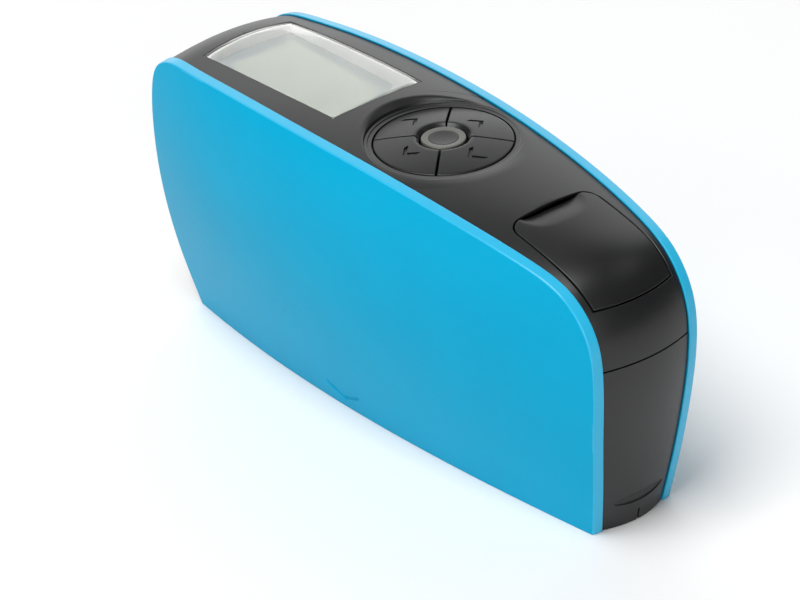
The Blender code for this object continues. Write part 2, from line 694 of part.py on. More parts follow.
def key(name, turn, mark_r, lean):
    """A quarter of the domed key disc, with a bevelled inner corner, a flange below and an engraved chevron.

    The chevron's middle lies at mark_r, and it's turned by the angle lean from pointing outward.
    """
    steps, spans = 9, 6
    levels = (  # height, share of the dome's rise, inner radius, outer radius
        (0.0, 1, WELL_TOP_R, KEY_R - 0.25),
        (-0.2, 1, WELL_TOP_R - 0.15, KEY_R),
        (-WELL_DEPTH, 1, WELL_R, KEY_R),
        (-1.65, 0, WELL_R, KEY_R),
        (-1.65, 0, WELL_R, KEY_FLANGE_R),
        (-KEY_THICK, 0, WELL_R, KEY_FLANGE_R),
    )
    grids = []
    for height, share, inner, outer in levels:
        grid = np.zeros((spans, steps, 3))
        for i, radius in enumerate([*np.linspace(inner, KEY_R, spans - 1)[:-1], min(outer, KEY_R), outer]):
            spare = math.asin(SPLIT / radius)
            for j, angle in enumerate(np.linspace(-math.pi / 4 + spare, math.pi / 4 - spare, steps)):
                grid[i, j] = radius * math.cos(angle), radius * math.sin(angle), height + share * key_rise(radius)
        grids.append(grid)
    edge = [(0, j) for j in range(steps - 1)] + [(i, steps - 1) for i in range(spans - 1)]
    edge += [(spans - 1, j) for j in range(steps - 1, 0, -1)] + [(i, 0) for i in range(spans - 1, 0, -1)]
    polygons = []
    for upper, lower in zip(grids, grids[1:]):
        for a, b in zip(edge, edge[1:] + edge[:1]):
            polygons.append([upper[a], upper[b], lower[b], lower[a]])
    for grid in (grids[0], grids[-1]):
        for i in range(spans - 1):
            for j in range(steps - 1):
                polygons.append([grid[i, j], grid[i + 1, j], grid[i + 1, j + 1], grid[i, j + 1]])
    made = make(name, polygons, KEYS)
    a, w = MARK_HALF, MARK_STROKE
    marks = [(a / 2 - a + w * 0.7, a), (a / 2 + w * 0.7, 0), (a / 2 - a + w * 0.7, -a)]
    back = [(x - w * math.sqrt(2), y) for x, y in marks]
    cos, sin = math.cos(lean), math.sin(lean)
    shape = [(mark_r + x * cos - y * sin, x * sin + y * cos) for x, y in marks + back[::-1]]
    tops = [(x, y, 3.0) for x, y in shape]
    lows = [(x, y, key_rise(mark_r + 0.5) - MARK_DEEP) for x, y in shape]
    polygons = []
    for i, j in ((0, 1), (1, 2)):
        for row in (tops, lows):
            polygons.append([row[i], row[j], row[5 - j], row[5 - i]])
    for i in range(6):
        j = (i + 1) % 6
        polygons.append([tops[i], tops[j], lows[j], lows[i]])
    boolean(made, [make("mark", polygons, KEYS)], "DIFFERENCE")
    made.data.transform(KEY_PLACE @ Matrix.Rotation(turn, 4, "Z"))
    return made


key_front = key("key_front", 0.0, 11.0, -math.pi / 2)
key_left = key("key_left", math.pi / 2, 9.7, 0.0)
key_back = key("key_back", math.pi, 11.0, -math.pi / 2)
key_right = key("key_right", -math.pi / 2, 9.7, 0.0)

button_ring = turned(
    "button_ring",
    [
        (BUTTON_CAP_R, BUTTON_HIGH - 0.08), (BUTTON_R - 0.35, BUTTON_HIGH), (BUTTON_R, BUTTON_HIGH - 0.3),
        (BUTTON_R, -2.1), (BUTTON_CAP_R, -2.1),
    ],
    LIGHT, 36, KEY_PLACE,
)
button_cap = turned(
    "button_cap",
    [
        (0, BUTTON_HIGH - 0.4), (1.6, BUTTON_HIGH - 0.33), (2.7, BUTTON_HIGH - 0.16),
        (BUTTON_CAP_R - 0.3, BUTTON_HIGH - 0.1), (BUTTON_CAP_R - 0.15, BUTTON_HIGH - 0.2), (BUTTON_CAP_R - 0.15, -2.1), (0, -2.1),
    ],
    KEYS, 32, KEY_PLACE,
)

# Rubber mat with a dome under each key and under the button
MAT_TOP = -3.85
mat_profile = [(0, MAT_TOP - 2.7), (15.8, MAT_TOP - 2.7), (15.8, MAT_TOP), (0, MAT_TOP)]
keypad_mat = turned("keypad_mat", mat_profile, RUBBER, 32, Matrix.Translation((KEY_X, 0, KEY_Z)))
dome = [(0, MAT_TOP - 0.5), (2.6, MAT_TOP - 0.5), (2.2, MAT_TOP + 0.4), (1.5, MAT_TOP + 0.8), (0, MAT_TOP + 0.8)]
domes = [turned("dome", dome, RUBBER, 14, Matrix.Translation((KEY_X, 0, KEY_Z)))]
for turn in range(4):
    spot = Matrix.Rotation(turn * math.pi / 2, 4, "Z") @ Vector((10.5, 0, 0))
    domes.append(turned("dome", dome, RUBBER, 14, Matrix.Translation((KEY_X + spot.x, spot.y, KEY_Z))))
boolean(keypad_mat, domes, "UNION")

# ---------------------------------------------------------------- main board
x0, x1, half, z0, z1 = BOARD
main_board = prism(
    "main_board",
    [(x0, -half + 2), (x0 + 2, -half), (x1 - 6, -half), (x1, -half + 6), (x1, half - 6), (x1 - 6, half), (x0 + 2, half), (x0, half - 2)],
    z0, z1, GREEN,
)
boolean(main_board, [hole(x, y, 1.2, 50, 70, 12) for x, y in BOSSES] , "DIFFERENCE")
chip = [box("chip", (-30, -6, z0 - 1.4), (-18, 6, z0 + 0.4), GREEN), box("chip", (-50, -4, z0 - 1.2), (-43, 4, z0 + 0.4), GREEN)]
boolean(main_board, chip, "UNION")

# ---------------------------------------------------------------- optics
def beam(angle, sign):
    """Frame whose +Z runs up one beam from the measured spot, leaning toward -X or +X."""
    return Matrix.Translation((SPOT_X, 0, 0)) @ turn_y(math.radians(angle) * sign)


reach = BLOCK_R / math.cos(math.radians(20.0))
flat = FLOOR + 0.4
foot = (BLOCK_R - flat * math.cos(math.radians(60.0))) / math.sin(math.radians(60.0))
corners = [
    (-foot, flat), (foot, flat),
    (reach * math.sin(math.radians(40.0)), reach * math.cos(math.radians(40.0))),
    (0.0, reach),
    (-reach * math.sin(math.radians(40.0)), reach * math.cos(math.radians(40.0))),
]
polygons = [[(SPOT_X + x, y, z) for x, z in corners] for y in (-BLOCK_HALF, BLOCK_HALF)]
for i in range(5):
    (xa, za), (xb, zb) = corners[i], corners[(i + 1) % 5]
    polygons.append([(SPOT_X + xa, -BLOCK_HALF, za), (SPOT_X + xb, -BLOCK_HALF, zb), (SPOT_X + xb, BLOCK_HALF, zb), (SPOT_X + xa, BLOCK_HALF, za)])
optics_block = make("optics_block", polygons, BLACK)
chamber = turned("chamber", [(0, -SPOT_HALF_Y), (CHAMBER_R, -SPOT_HALF_Y), (CHAMBER_R, SPOT_HALF_Y), (0, SPOT_HALF_Y)], BLACK, 36, Matrix.Translation((SPOT_X, 0, 0)) @ Matrix.Rotation(math.pi / 2, 4, "X"))
tools = [chamber]
for angle in CHANNELS:
    for sign in (-1, 1):
        tools.append(turned("bore", [(0, 10), (BORE_R, 10), (BORE_R, 45), (0, 45)], BLACK, 20, beam(angle, sign)))
tools += [hole(x, y, 1.0, 0, 9.5, 12) for x, y in BLOCK_SCREWS]
boolean(optics_block, tools, "DIFFERENCE")

for angle in CHANNELS:
    label = "%d" % angle
    for sign, use in ((-1, "lamp"), (1, "detector")):
        place = beam(angle, sign)
        r = BORE_R - 0.2
        lens = [(0, 15.4), (1.5, 15.65), (r, 16.4), (r, 17.4), (1.5, 18.15), (0, 18.4)]
        turned("lens_%s_%s" % (use, label), lens, LENS, 20, place)
        if use == "lamp":
            shape = [(0, 26.0), (1.2, 26.3), (2.1, 27.2), (2.5, 28.5), (2.5, BLOCK_R + 0.3), (3.4, BLOCK_R + 0.3), (3.4, BLOCK_R + 1.5), (0, BLOCK_R + 1.5)]
            turned("lamp_%s" % label, shape, LAMP, 20, place)
        else:
            shape = [(0, 29.0), (2.6, 29.0), (2.6, BLOCK_R + 0.3), (3.6, BLOCK_R + 0.3), (3.6, BLOCK_R + 1.2), (0, BLOCK_R + 1.2)]
            turned("detector_%s" % label, shape, CAN, 20, place)


# ---------------------------------------------------------------- battery compartment
def stadium(r, n=8):
    ring = []
    for i in range(n + 1):
        a = -math.pi / 2 + math.pi * i / n
        ring.append((CELL_X[0] + r * math.cos(a), r * math.sin(a)))
    for i in range(n + 1):
        a = math.pi / 2 + math.pi * i / n
        ring.append((CELL_X[1] + r * math.cos(a), r * math.sin(a)))
    return ring


battery_tray = prism("battery_tray", stadium(TRAY_R), TRAY_Z, TRAY_TOP, DARK)
boolean(battery_tray, [prism("well", stadium(TRAY_R - TRAY_WALL), TRAY_Z + 0.8, TRAY_TOP + 5, DARK)], "DIFFERENCE")

for name, x, up in (("cell_front", CELL_X[0], True), ("cell_back", CELL_X[1], False)):
    high = CELL_LEN - NUB
    shape = [(0, 0), (3.0, 0), (CELL_R - 0.4, 0), (CELL_R, 0.4), (CELL_R, high - 0.4), (CELL_R - 0.4, high), (NUB_R, high), (NUB_R, CELL_LEN), (0, CELL_LEN)]
    if not up:
        shape = [(r, CELL_LEN - h) for r, h in shape[::-1]]
    turned(name, shape, CELL, 26, Matrix.Translation((x, 0, CELL_Z)))

# Spring contact under one cell, plate contact under the other
x = CELL_X[0]
low, high = TRAY_Z + 1.1, CELL_Z - 0.3
turned("contact_spring", [(0, low), (4.8, low), (4.8, low + 0.4), (3.5, low + 0.5), (3.5, low + 0.8), (2.4, low + 0.9), (2.4, high), (0, high)], STEEL, 20, Matrix.Translation((x, 0, 0)))
box("contact_plate", (CELL_X[1] - 3.6, -3.6, low), (CELL_X[1] + 3.6, 3.6, high), STEEL)


# ---------------------------------------------------------------- screws
def screw(name, x, y, head_low, head_r, head_high, shank_r, tip):
    """A screw driven upward: a head with a hexagon socket, a shank and a point."""
    made = turned(
        name,
        [
            (0, head_low + 0.5), (head_r * 0.42, head_low + 0.5), (head_r * 0.42, head_low), (head_r - 0.2, head_low),
            (head_r, head_low + 0.2), (head_r, head_high), (shank_r, head_high), (shank_r, tip - 0.6), (0.2, tip), (0, tip),
        ],
        STEEL, 10, Matrix.Translation((x, y, 0)),
    )
    return made


for i, (x, y) in enumerate(POSTS):
    screw("housing_screw_%d" % (i + 1), x, y, 34.0, 1.7, 35.7, 0.95, 50.5)
for i, (x, y) in enumerate(BOSSES):
    screw("board_screw_%d" % (i + 1), x, y, z0 - 1.5, 1.8, z0 - 0.3, 0.8, 65.6)
for i, (x, y) in enumerate(BLOCK_SCREWS):
    screw("optics_screw_%d" % (i + 1), x, y, 0.2, 1.8, 1.1, 0.8, 8.6)


# ---------------------------------------------------------------- joint origins, shading, metres
ORIGINS = {
    "battery_door": Vector(HINGE),
    "door_contact": Vector(HINGE),
    "button_ring": KEY_PLACE @ Vector((0, 0, BUTTON_HIGH)),
    "button_cap": KEY_PLACE @ Vector((0, 0, BUTTON_HIGH)),
}
for name, turn in (("key_front", 0.0), ("key_left", 0.5), ("key_back", 1.0), ("key_right", -0.5)):
    ORIGINS[name] = KEY_PLACE @ Matrix.Rotation(turn * math.pi, 4, "Z") @ Vector((10.5, 0, 0))

for made in list(bpy.context.scene.collection.objects):
    mesh = made.data
    origin = ORIGINS.get(made.name, Vector((0, 0, 0)))
    mesh.transform(Matrix.Translation(-origin))
    mesh.transform(Matrix.Scale(MM, 4))
    made.location = origin * MM
    work = bmesh.new()
    work.from_mesh(mesh)
    for face in work.faces:
        face.smooth = True
    for side in work.edges:
        side.smooth = len(side.link_faces) == 2 and side.calc_face_angle(0.0) < math.radians(32)
    work.to_mesh(mesh)
    work.free()
    mesh.update()
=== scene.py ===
"""Looks of a hand-held gloss meter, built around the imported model."""

import json
import math

import bmesh
import bpy
import numpy as np
from mathutils import Matrix, Vector


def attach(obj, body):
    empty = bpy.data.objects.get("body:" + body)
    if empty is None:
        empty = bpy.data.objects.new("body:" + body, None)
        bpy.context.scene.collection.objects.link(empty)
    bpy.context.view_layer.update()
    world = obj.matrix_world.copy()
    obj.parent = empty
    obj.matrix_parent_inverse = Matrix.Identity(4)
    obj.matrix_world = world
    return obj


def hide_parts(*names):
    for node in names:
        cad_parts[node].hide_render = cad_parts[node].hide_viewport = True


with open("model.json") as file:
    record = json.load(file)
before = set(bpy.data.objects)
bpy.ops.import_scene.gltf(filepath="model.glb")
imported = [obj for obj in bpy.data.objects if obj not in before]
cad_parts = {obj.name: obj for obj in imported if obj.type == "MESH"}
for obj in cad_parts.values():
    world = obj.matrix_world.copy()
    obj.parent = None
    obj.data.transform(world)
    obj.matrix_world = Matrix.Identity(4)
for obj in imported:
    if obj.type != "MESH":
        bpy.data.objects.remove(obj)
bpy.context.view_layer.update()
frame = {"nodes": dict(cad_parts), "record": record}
MM = 0.001
rad = math.radians

# ---------------------------------------------------------------- camera
AZIMUTH, ELEVATION, ROLL = rad(54.072), rad(30.13), rad(-4.379)
DISTANCE, AIM_RIGHT, AIM_UP, FOCAL_PX = 754.307, -5.014, -8.747, 3351.021

back = Vector((math.sin(AZIMUTH) * math.cos(ELEVATION), -math.cos(AZIMUTH) * math.cos(ELEVATION), math.sin(ELEVATION)))
right = Vector((math.cos(AZIMUTH), math.sin(AZIMUTH), 0))
up = back.cross(right)
right, up = right * math.cos(ROLL) + up * math.sin(ROLL), up * math.cos(ROLL) - right * math.sin(ROLL)
spot = Vector((0, 0, 35)) + back * DISTANCE + up * AIM_UP + right * AIM_RIGHT
lens = bpy.data.cameras.new("camera")
lens.sensor_width = 36.0
lens.lens = FOCAL_PX / 800 * 36.0
lens.clip_start, lens.clip_end = 0.01, 50
camera = bpy.data.objects.new("camera", lens)
bpy.context.scene.collection.objects.link(camera)
camera.matrix_world = Matrix(
    (
        (right.x, up.x, back.x, spot.x * MM),
        (right.y, up.y, back.y, spot.y * MM),
        (right.z, up.z, back.z, spot.z * MM),
        (0, 0, 0, 1),
    )
)
bpy.context.scene.camera = camera

# ---------------------------------------------------------------- dimensions (mm), the same as the model's
OUTLINE = [
    (-72.3, 0.0), (-75.0, 13.0), (-75.9, 26.0), (-75.7, 38.5), (-75.6, 50.0),
    (-75.7, 58.4), (-74.3, 64.6), (-69.4, 67.9), (-61.0, 69.2), (-45.2, 70.2),
    (-15.2, 70.7), (11.8, 69.8), (39.0, 67.2), (57.3, 64.2), (68.8, 59.9),
    (75.0, 51.6), (76.1, 41.0), (74.4, 26.0), (72.3, 13.0), (69.6, 0.0),
]
WIDTH_HEIGHTS = (0.0, 20.0, 40.0, 60.0)
WIDTH_HALVES = (15.2, 20.2, 23.5, 22.4)
WIDEST_X, PLAN_BOW, PLAN_SKEW = -18.0, 120.5, -0.2
SHELL_EDGE, SHELL_DROP, SHELL_GAP = 2.5, 0.35, 0.3
RECESS, CROWN, CROWN_DIP, CROWN_RISE, CROWN_FLAT, FLAT_S = 0.4, 1.9, 0.65, 0.3, 0.55, 103.5
WALL, FLOOR = 2.0, 2.4
SEAM_Z, SEAM_GAP = 43.9, 0.4
WINDOW_BACK, WINDOW_FRONT, WINDOW_HALF = -62.1, -12.3, 12.5
WINDOW_BOW_BACK, WINDOW_BOW_FRONT, WINDOW_BOW_SIDE = 0.8, 0.7, 0.4
WINDOW_THICK = 0.95
PANEL_LOW, PANEL_TOP = 63.1, 66.8
KEY_X, KEY_Z, KEY_TILT = 11.0, 69.66, rad(1.0)
KEY_R, KEY_HOLE_R, KEY_GAP, KEY_THICK, KEY_FLANGE_R, KEY_DOME = 15.46, 15.81, 0.46, 2.1, 16.9, 1.5
WELL_TOP_R, WELL_R, WELL_DEPTH = 6.3, 5.4, 1.0
BUTTON_R, BUTTON_CAP_R, BUTTON_HIGH = 5.0, 3.35, 0.88
MARK_HALF, MARK_DEEP, MARK_STROKE = 2.1, 0.42, 0.85
DOOR_S_BACK, DOOR_HALF, DOOR_Z_LOW = 187.0, 11.25, 56.8
DOOR_CORNER, DOOR_GAP, DOOR_THICK, DOOR_TAPER, TAPER_S = 3.2, 0.35, 1.7, 0.75, 200.0
SCOOP_LONG, SCOOP_WIDE, SCOOP_DEEP = 6.5, 8.3, 1.25
SPOT_X, SPOT_HALF_X, SPOT_HALF_Y = -7.0, 17.0, 6.5
POSTS = ((-67.5, 8.0), (-67.5, -8.0), (33.0, 7.5), (33.0, -7.5))
BLOCK_SCREWS = ((-38.0, 5.6), (-38.0, -5.6), (24.0, 5.6), (24.0, -5.6))
BOSSES = ((-5.0, 14.5), (-5.0, -14.5), (26.6, 12.6), (26.6, -12.6))
CRESCENT_Z, CRESCENT_HALF, CRESCENT_HIGH, CRESCENT_DEEP = 7.2, 7.0, 1.3, 0.6

K = np.array(OUTLINE, float)
RUN = np.concatenate([[0.0], np.cumsum(np.linalg.norm(np.diff(K, axis=0), axis=1))])
S_END = RUN[-1]


def spline_bends(t, values):
    n = len(t)
    step = np.diff(t)
    system, side = np.eye(n), np.zeros((n, values.shape[1]))
    for i in range(1, n - 1):
        system[i, i - 1 : i + 2] = step[i - 1], 2 * (step[i - 1] + step[i]), step[i]
        side[i] = 6 * ((values[i + 1] - values[i]) / step[i] - (values[i] - values[i - 1]) / step[i - 1])
    return np.linalg.solve(system, side)


BENDS = spline_bends(RUN, K)


def outline(s):
    """Points (n, 2) and outward normals (n, 2) on the side outline."""
    s = np.atleast_1d(np.asarray(s, float))
    i = np.clip(np.searchsorted(RUN, s) - 1, 0, len(RUN) - 2)
    h = (RUN[i + 1] - RUN[i])[:, None]
    a, b = (RUN[i + 1] - s)[:, None] / h, (s - RUN[i])[:, None] / h
    point = a * K[i] + b * K[i + 1] + ((a**3 - a) * BENDS[i] + (b**3 - b) * BENDS[i + 1]) * h * h / 6
    slope = (K[i + 1] - K[i]) / h + (-(3 * a * a - 1) * BENDS[i] + (3 * b * b - 1) * BENDS[i + 1]) * h / 6
    slope /= np.linalg.norm(slope, axis=1)[:, None]
    return point, np.stack([-slope[:, 1], slope[:, 0]], axis=1)


def half_width(x, z):
    total = 0.0
    for i, zi in enumerate(WIDTH_HEIGHTS):
        share = WIDTH_HALVES[i]
        for j, zj in enumerate(WIDTH_HEIGHTS):
            if j != i:
                share = share * (z - zj) / (zi - zj)
        total = total + share
    d = x - WIDEST_X
    return total * (1 - (d / PLAN_BOW) ** 2 * (1 + PLAN_SKEW * d / 100))


def s_at(z, front):
    low, high = (S_END, S_END - 60) if front else (0.0, 50.0)
    for _ in range(50):
        middle = (low + high) / 2
        low, high = (middle, high) if outline(middle)[0][0, 1] < z else (low, middle)
    return (low + high) / 2


def stations(start, end, count):
    fine = np.linspace(start, end, 3000)
    normals = outline(fine)[1]
    turn = np.linalg.norm(np.diff(normals, axis=0), axis=1)
    weight = np.concatenate([[0], np.cumsum((fine[1] - fine[0]) / 9.0 + turn * 3.2)])
    return np.interp(np.linspace(0, weight[-1], count), weight, fine)


def crown(normal, s):
    """Bulge of the centre section at its middle, for the outline's normals and run lengths there."""
    dip = CROWN_DIP * np.exp(-(((normal[..., 0] + 0.6) / 0.25) ** 2))
    rise = CROWN_RISE * np.exp(-(((normal[..., 0] - 0.5) / 0.3) ** 2))
    return CROWN - dip + rise - CROWN_FLAT * np.exp(-(((s - FLAT_S) / 17.0) ** 2))


def surface(s, y, inset=0.0):
    """Points on the centre section's outer face; s, y and inset broadcast together."""
    s, y, inset = np.broadcast_arrays(np.asarray(s, float), np.asarray(y, float), np.asarray(inset, float))
    shape = s.shape
    point, normal = outline(s.ravel())
    y, inset = y.ravel(), inset.ravel()
    edge = point - normal * RECESS
    v = y / (half_width(edge[:, 0], edge[:, 1]) - SHELL_GAP)
    spot = edge + normal * (crown(normal, s.ravel()) * (1 - v * v) - inset)[:, None]
    return np.stack([spot[:, 0], y, spot[:, 1]], axis=1).reshape(*shape, 3)


DENSE_S = np.linspace(0, S_END, 6000)
DENSE_P, DENSE_N = outline(DENSE_S)
DENSE_E = DENSE_P - DENSE_N * RECESS


def nearest_s(points):
    """Run length of the outline's nearest point, for points (n, 3)."""
    found = np.zeros(len(points))
    for start in range(0, len(points), 2000):
        part = points[start : start + 2000][:, [0, 2]]
        gap = ((part[:, None, :] - DENSE_E[None, ::6, :]) ** 2).sum(axis=2)
        best = gap.argmin(axis=1) * 6
        near = np.clip(best[:, None] + np.arange(-6, 7)[None, :], 0, len(DENSE_S) - 1)
        gap = ((part[:, None, :] - DENSE_E[near]) ** 2).sum(axis=2)
        found[start : start + 2000] = DENSE_S[near[np.arange(len(part)), gap.argmin(axis=1)]]
    return found


def surface_normal(s, y):
    step = 0.05
    s = np.clip(s, step, S_END - step)
    along = surface(s + step, y) - surface(s - step, y)
    across = surface(s, y + step) - surface(s, y - step)
    normal = np.cross(across, along)
    normal /= np.linalg.norm(normal, axis=-1)[..., None]
    return normal


top_mask = (DENSE_S > 40) & (DENSE_S < 215)
TOP_X, TOP_S = DENSE_P[top_mask][:, 0], DENSE_S[top_mask]


def top_point(x, y, inset=0.0):
    """The outer face over the plan position (x, y), for the nearly level top."""
    x = np.asarray(x, float)
    s = np.interp(x, TOP_X, TOP_S)
    found = surface(s, y, inset)
    s = np.interp(2 * x - found[..., 0], TOP_X, TOP_S)
    return surface(s, y, inset)


# ---------------------------------------------------------------- mesh helpers
def link(name, points, faces, smooth_angle=30.0):
    """A mesh object in metres from points in mm."""
    mesh = bpy.data.meshes.new(name)
    mesh.from_pydata([tuple(p) for p in np.asarray(points, float) * MM], [], [tuple(f) for f in faces])
    mesh.update()
    made = bpy.data.objects.new(name, mesh)
    bpy.context.scene.collection.objects.link(made)
    clean(made)
    shade(made, smooth_angle)
    return made


def clean(made, within=2e-6):
    work = bmesh.new()
    work.from_mesh(made.data)
    bmesh.ops.remove_doubles(work, verts=work.verts, dist=within)
    bmesh.ops.dissolve_degenerate(work, dist=1e-7, edges=work.edges)
    bmesh.ops.recalc_face_normals(work, faces=work.faces)
    if work.calc_volume(signed=True) < 0:
        bmesh.ops.reverse_faces(work, faces=work.faces)
    work.to_mesh(made.data)
    work.free()
    made.data.update()


def shade(made, angle=30.0):
    work = bmesh.new()
    work.from_mesh(made.data)
    for face in work.faces:
        face.smooth = True
    for side in work.edges:
        side.smooth = len(side.link_faces) == 2 and side.calc_face_angle(0.0) < rad(angle)
    work.to_mesh(made.data)
    work.free()


def grid_faces(rows, columns, offset=0, wrap=False):
    faces = []
    for i in range(rows - 1):
        for j in range(columns if wrap else columns - 1):
            n = (j + 1) % columns
            faces.append((offset + i * columns + j, offset + (i + 1) * columns + j, offset + (i + 1) * columns + n, offset + i * columns + n))
    return faces


def turned(name, profile, sides=96, place=None, angle=30.0):
    """A solid of revolution from (radius, height) pairs, closed on the axis or as a ring."""
    closed = profile[0][0] > 0
    pairs = list(profile) + ([profile[0]] if closed else [])
    points = []
    for r, h in pairs:
        for k in range(sides):
            a = 2 * math.pi * k / sides
            points.append((r * math.cos(a), r * math.sin(a), h))
    made = link(name, points, grid_faces(len(pairs), sides, wrap=True), angle)
    if place is not None:
        made.data.transform(scaled(place))
    return made


def scaled(place):
    place = place.copy()
    place.translation = place.translation * MM
    return place


def rounded(points, radius, steps=4):
    """Rounds the inner corners of an open (r, h) profile; radius is one number or one per corner."""
    points = [np.array(p, float) for p in points]
    made = [points[0]]
    for i in range(1, len(points) - 1):
        size = radius[i - 1] if isinstance(radius, (list, tuple)) else radius
        before, after = points[i - 1] - points[i], points[i + 1] - points[i]
        reach = min(size, 0.45 * np.linalg.norm(before), 0.45 * np.linalg.norm(after))
        if reach <= 0:
            made.append(points[i])
            continue
        a = points[i] + before / np.linalg.norm(before) * reach
        b = points[i] + after / np.linalg.norm(after) * reach
        for t in np.linspace(0, 1, steps + 1):
            made.append((1 - t) ** 2 * a + 2 * t * (1 - t) * points[i] + t * t * b)
    made.append(points[-1])
    return [tuple(p) for p in made]


def cut(target, tools, operation="DIFFERENCE", solver="EXACT"):
    """Applies a Boolean with each tool, and removes the tools."""
    for tool in tools:
        step = target.modifiers.new("cut", "BOOLEAN")
        step.operation, step.solver, step.object = operation, solver, tool
        graph = bpy.context.evaluated_depsgraph_get()
        graph.update()
        result = bpy.data.meshes.new_from_object(target.evaluated_get(graph))
        target.modifiers.clear()
        target.data = result
        bpy.data.objects.remove(tool, do_unlink=True)
    return target


def join(target, others):
    work = bmesh.new()
    work.from_mesh(target.data)
    for other in others:
        work.from_mesh(other.data)
        bpy.data.objects.remove(other, do_unlink=True)
    work.to_mesh(target.data)
    work.free()
    return target


def loops_solid(name, loops, caps=True, angle=30.0):
    """A closed skin through rings of equally many points, with flat or fanned ends."""
    count = len(loops[0])
    points = np.concatenate([np.asarray(loop, float) for loop in loops])
    faces = grid_faces(len(loops), count, wrap=True)
    if caps:
        faces.append(tuple(range(count)))
        faces.append(tuple(range(len(points) - count, len(points))))
    return link(name, points, faces, angle)


def refine_normals(made, skin):
    """Gives the faces that lie on an exact curved skin that skin's own normals. skin(points) returns (normals, gap)."""
    mesh = made.data
    count = len(mesh.vertices)
    points = np.empty(count * 3)
    mesh.vertices.foreach_get("co", points)
    points = points.reshape(-1, 3) / MM
    normals, gap = skin(points)
    on = np.abs(gap) < 0.012
    custom = np.zeros((len(mesh.loops), 3))
    corner = np.empty(len(mesh.loops), np.int64)
    mesh.loops.foreach_get("vertex_index", corner)
    for face in mesh.polygons:
        start, total = face.loop_start, face.loop_total
        who = corner[start : start + total]
        if not on[who].all():
            continue
        if min(np.dot(normals[who], np.array(face.normal))) < 0.9:
            continue
        custom[start : start + total] = normals[who]
    mesh.normals_split_custom_set([tuple(n) for n in custom])


def centre_skin(points):
    s = nearest_s(points)
    exact = surface(s, points[:, 1])
    # The distance along the outline's normal
    _, normal = outline(s)
    gap = (points[:, 0] - exact[:, 0]) * normal[:, 0] + (points[:, 2] - exact[:, 2]) * normal[:, 1]
    return surface_normal(s, points[:, 1]), gap


# ---------------------------------------------------------------- side shells
def side_shell(name, sign):
    rows, down = 230, 44
    runs = stations(0.0, S_END, rows)
    drop = SHELL_DROP
    # Rim section: (inset along the outline, rise over the inner face), inner corner, slanting band, outer crease
    crease = rounded([(0.0, 0.05), (0.0, 0.28), (drop, SHELL_EDGE), (drop + 3.0, SHELL_EDGE)], [0.2, 0.42], 6)
    crease = [(0.28, 0.0), (0.12, 0.04), (0.03, 0.13)] + crease[1:-1]
    rim = np.zeros((rows, len(crease), 3))
    point, normal = outline(runs)
    for k, (inset, rise) in enumerate(crease):
        spot = point - normal * inset
        spot[0] = point[0] + np.array([inset, 0])
        spot[-1] = point[-1] - np.array([inset, 0])
        spot[:, 1] = np.maximum(spot[:, 1], 0.0)
        rim[:, k, 0], rim[:, k, 2] = spot[:, 0], spot[:, 1]
        rim[:, k, 1] = half_width(spot[:, 0], spot[:, 1]) + rise
    share = ((runs - runs[0]) / (runs[-1] - runs[0]))[:, None]

    def face_grid(column, rise, count):
        ends = rim[0, column], rim[-1, column]
        foot = ends[0][None, :] + (ends[1] - ends[0])[None, :] * share
        t = np.linspace(0, 1, count) ** 0.9
        x = foot[:, 0:1] + (rim[:, column, 0:1] - foot[:, 0:1]) * t
        z = rim[:, column, 2:3] * t
        y = half_width(x, z) + rise
        return np.stack([x, y, z], axis=2)

    outer = face_grid(len(crease) - 1, SHELL_EDGE, down)
    inner = face_grid(0, 0.0, 6)
    points, faces = [], []
    offset = 0
    for grid in (inner, rim, outer):
        points.append(grid.reshape(-1, 3))
        faces += grid_faces(grid.shape[0], grid.shape[1], offset)
        offset += grid.shape[0] * grid.shape[1]
    wide = inner.shape[0] * inner.shape[1] + rim.shape[0] * rim.shape[1]
    for i in range(rows - 1):
        faces.append((i * 6, (i + 1) * 6, wide + (i + 1) * down, wide + i * down))
    for i in (0, rows - 1):
        base = inner.shape[0] * inner.shape[1] + i * rim.shape[1]
        faces.append(tuple(range(base, base + rim.shape[1])))
    points = np.concatenate(points)
    points[:, 1] *= sign
    made = link(name, points, faces, 40)
    # Engraved chevron near the base, with a rounded floor
    arm, rise, stroke, deep = 5.9, 2.4, 1.25, 0.48
    middle, low = SPOT_X - 1.5, 3.0
    section = [(-0.5, 0.6), (-0.5, 0.1), (-0.36, -0.1), (-0.1, -0.25), (0.12, -0.32), (0.28, -0.31), (0.38, -0.2), (0.5, 0.1), (0.5, 0.6)]
    loops = []
    stops = [(-1.0, 0.0), (-0.97, 0.6), (-0.9, 1.0)] + [(t, 1.0) for t in np.linspace(-0.8, 0.8, 9)] + [(0.9, 1.0), (0.97, 0.6), (1.0, 0.0)]
    for t, size in stops:
        x = arm * t
        z = low + rise * abs(t)
        lean = 1.0
        ring = []
        for u, h in section:
            zz = z + u * stroke * lean
            depth = h if h > 0 else h * size + 0.02 * (1 - size)
            ring.append((middle + x, sign * (half_width(middle + x, zz) + SHELL_EDGE + (depth if h > 0 else depth * deep / 0.32)), zz))
        loops.append(ring)
    cut(made, [loops_solid("groove", loops)])

    def skin(found):
        x, y, z = found[:, 0], found[:, 1] * sign, found[:, 2]
        step = 0.02
        gx = (half_width(x + step, z) - half_width(x - step, z)) / (2 * step)
        gz = (half_width(x, z + step) - half_width(x, z - step)) / (2 * step)
        normal = np.stack([-gx, np.ones_like(gx), -gz], axis=1)
        normal /= np.linalg.norm(normal, axis=1)[:, None]
        normal[:, 1] *= sign
        return normal, y - half_width(x, z) - SHELL_EDGE

    shade(made, 40)
    refine_normals(made, skin)
    return made


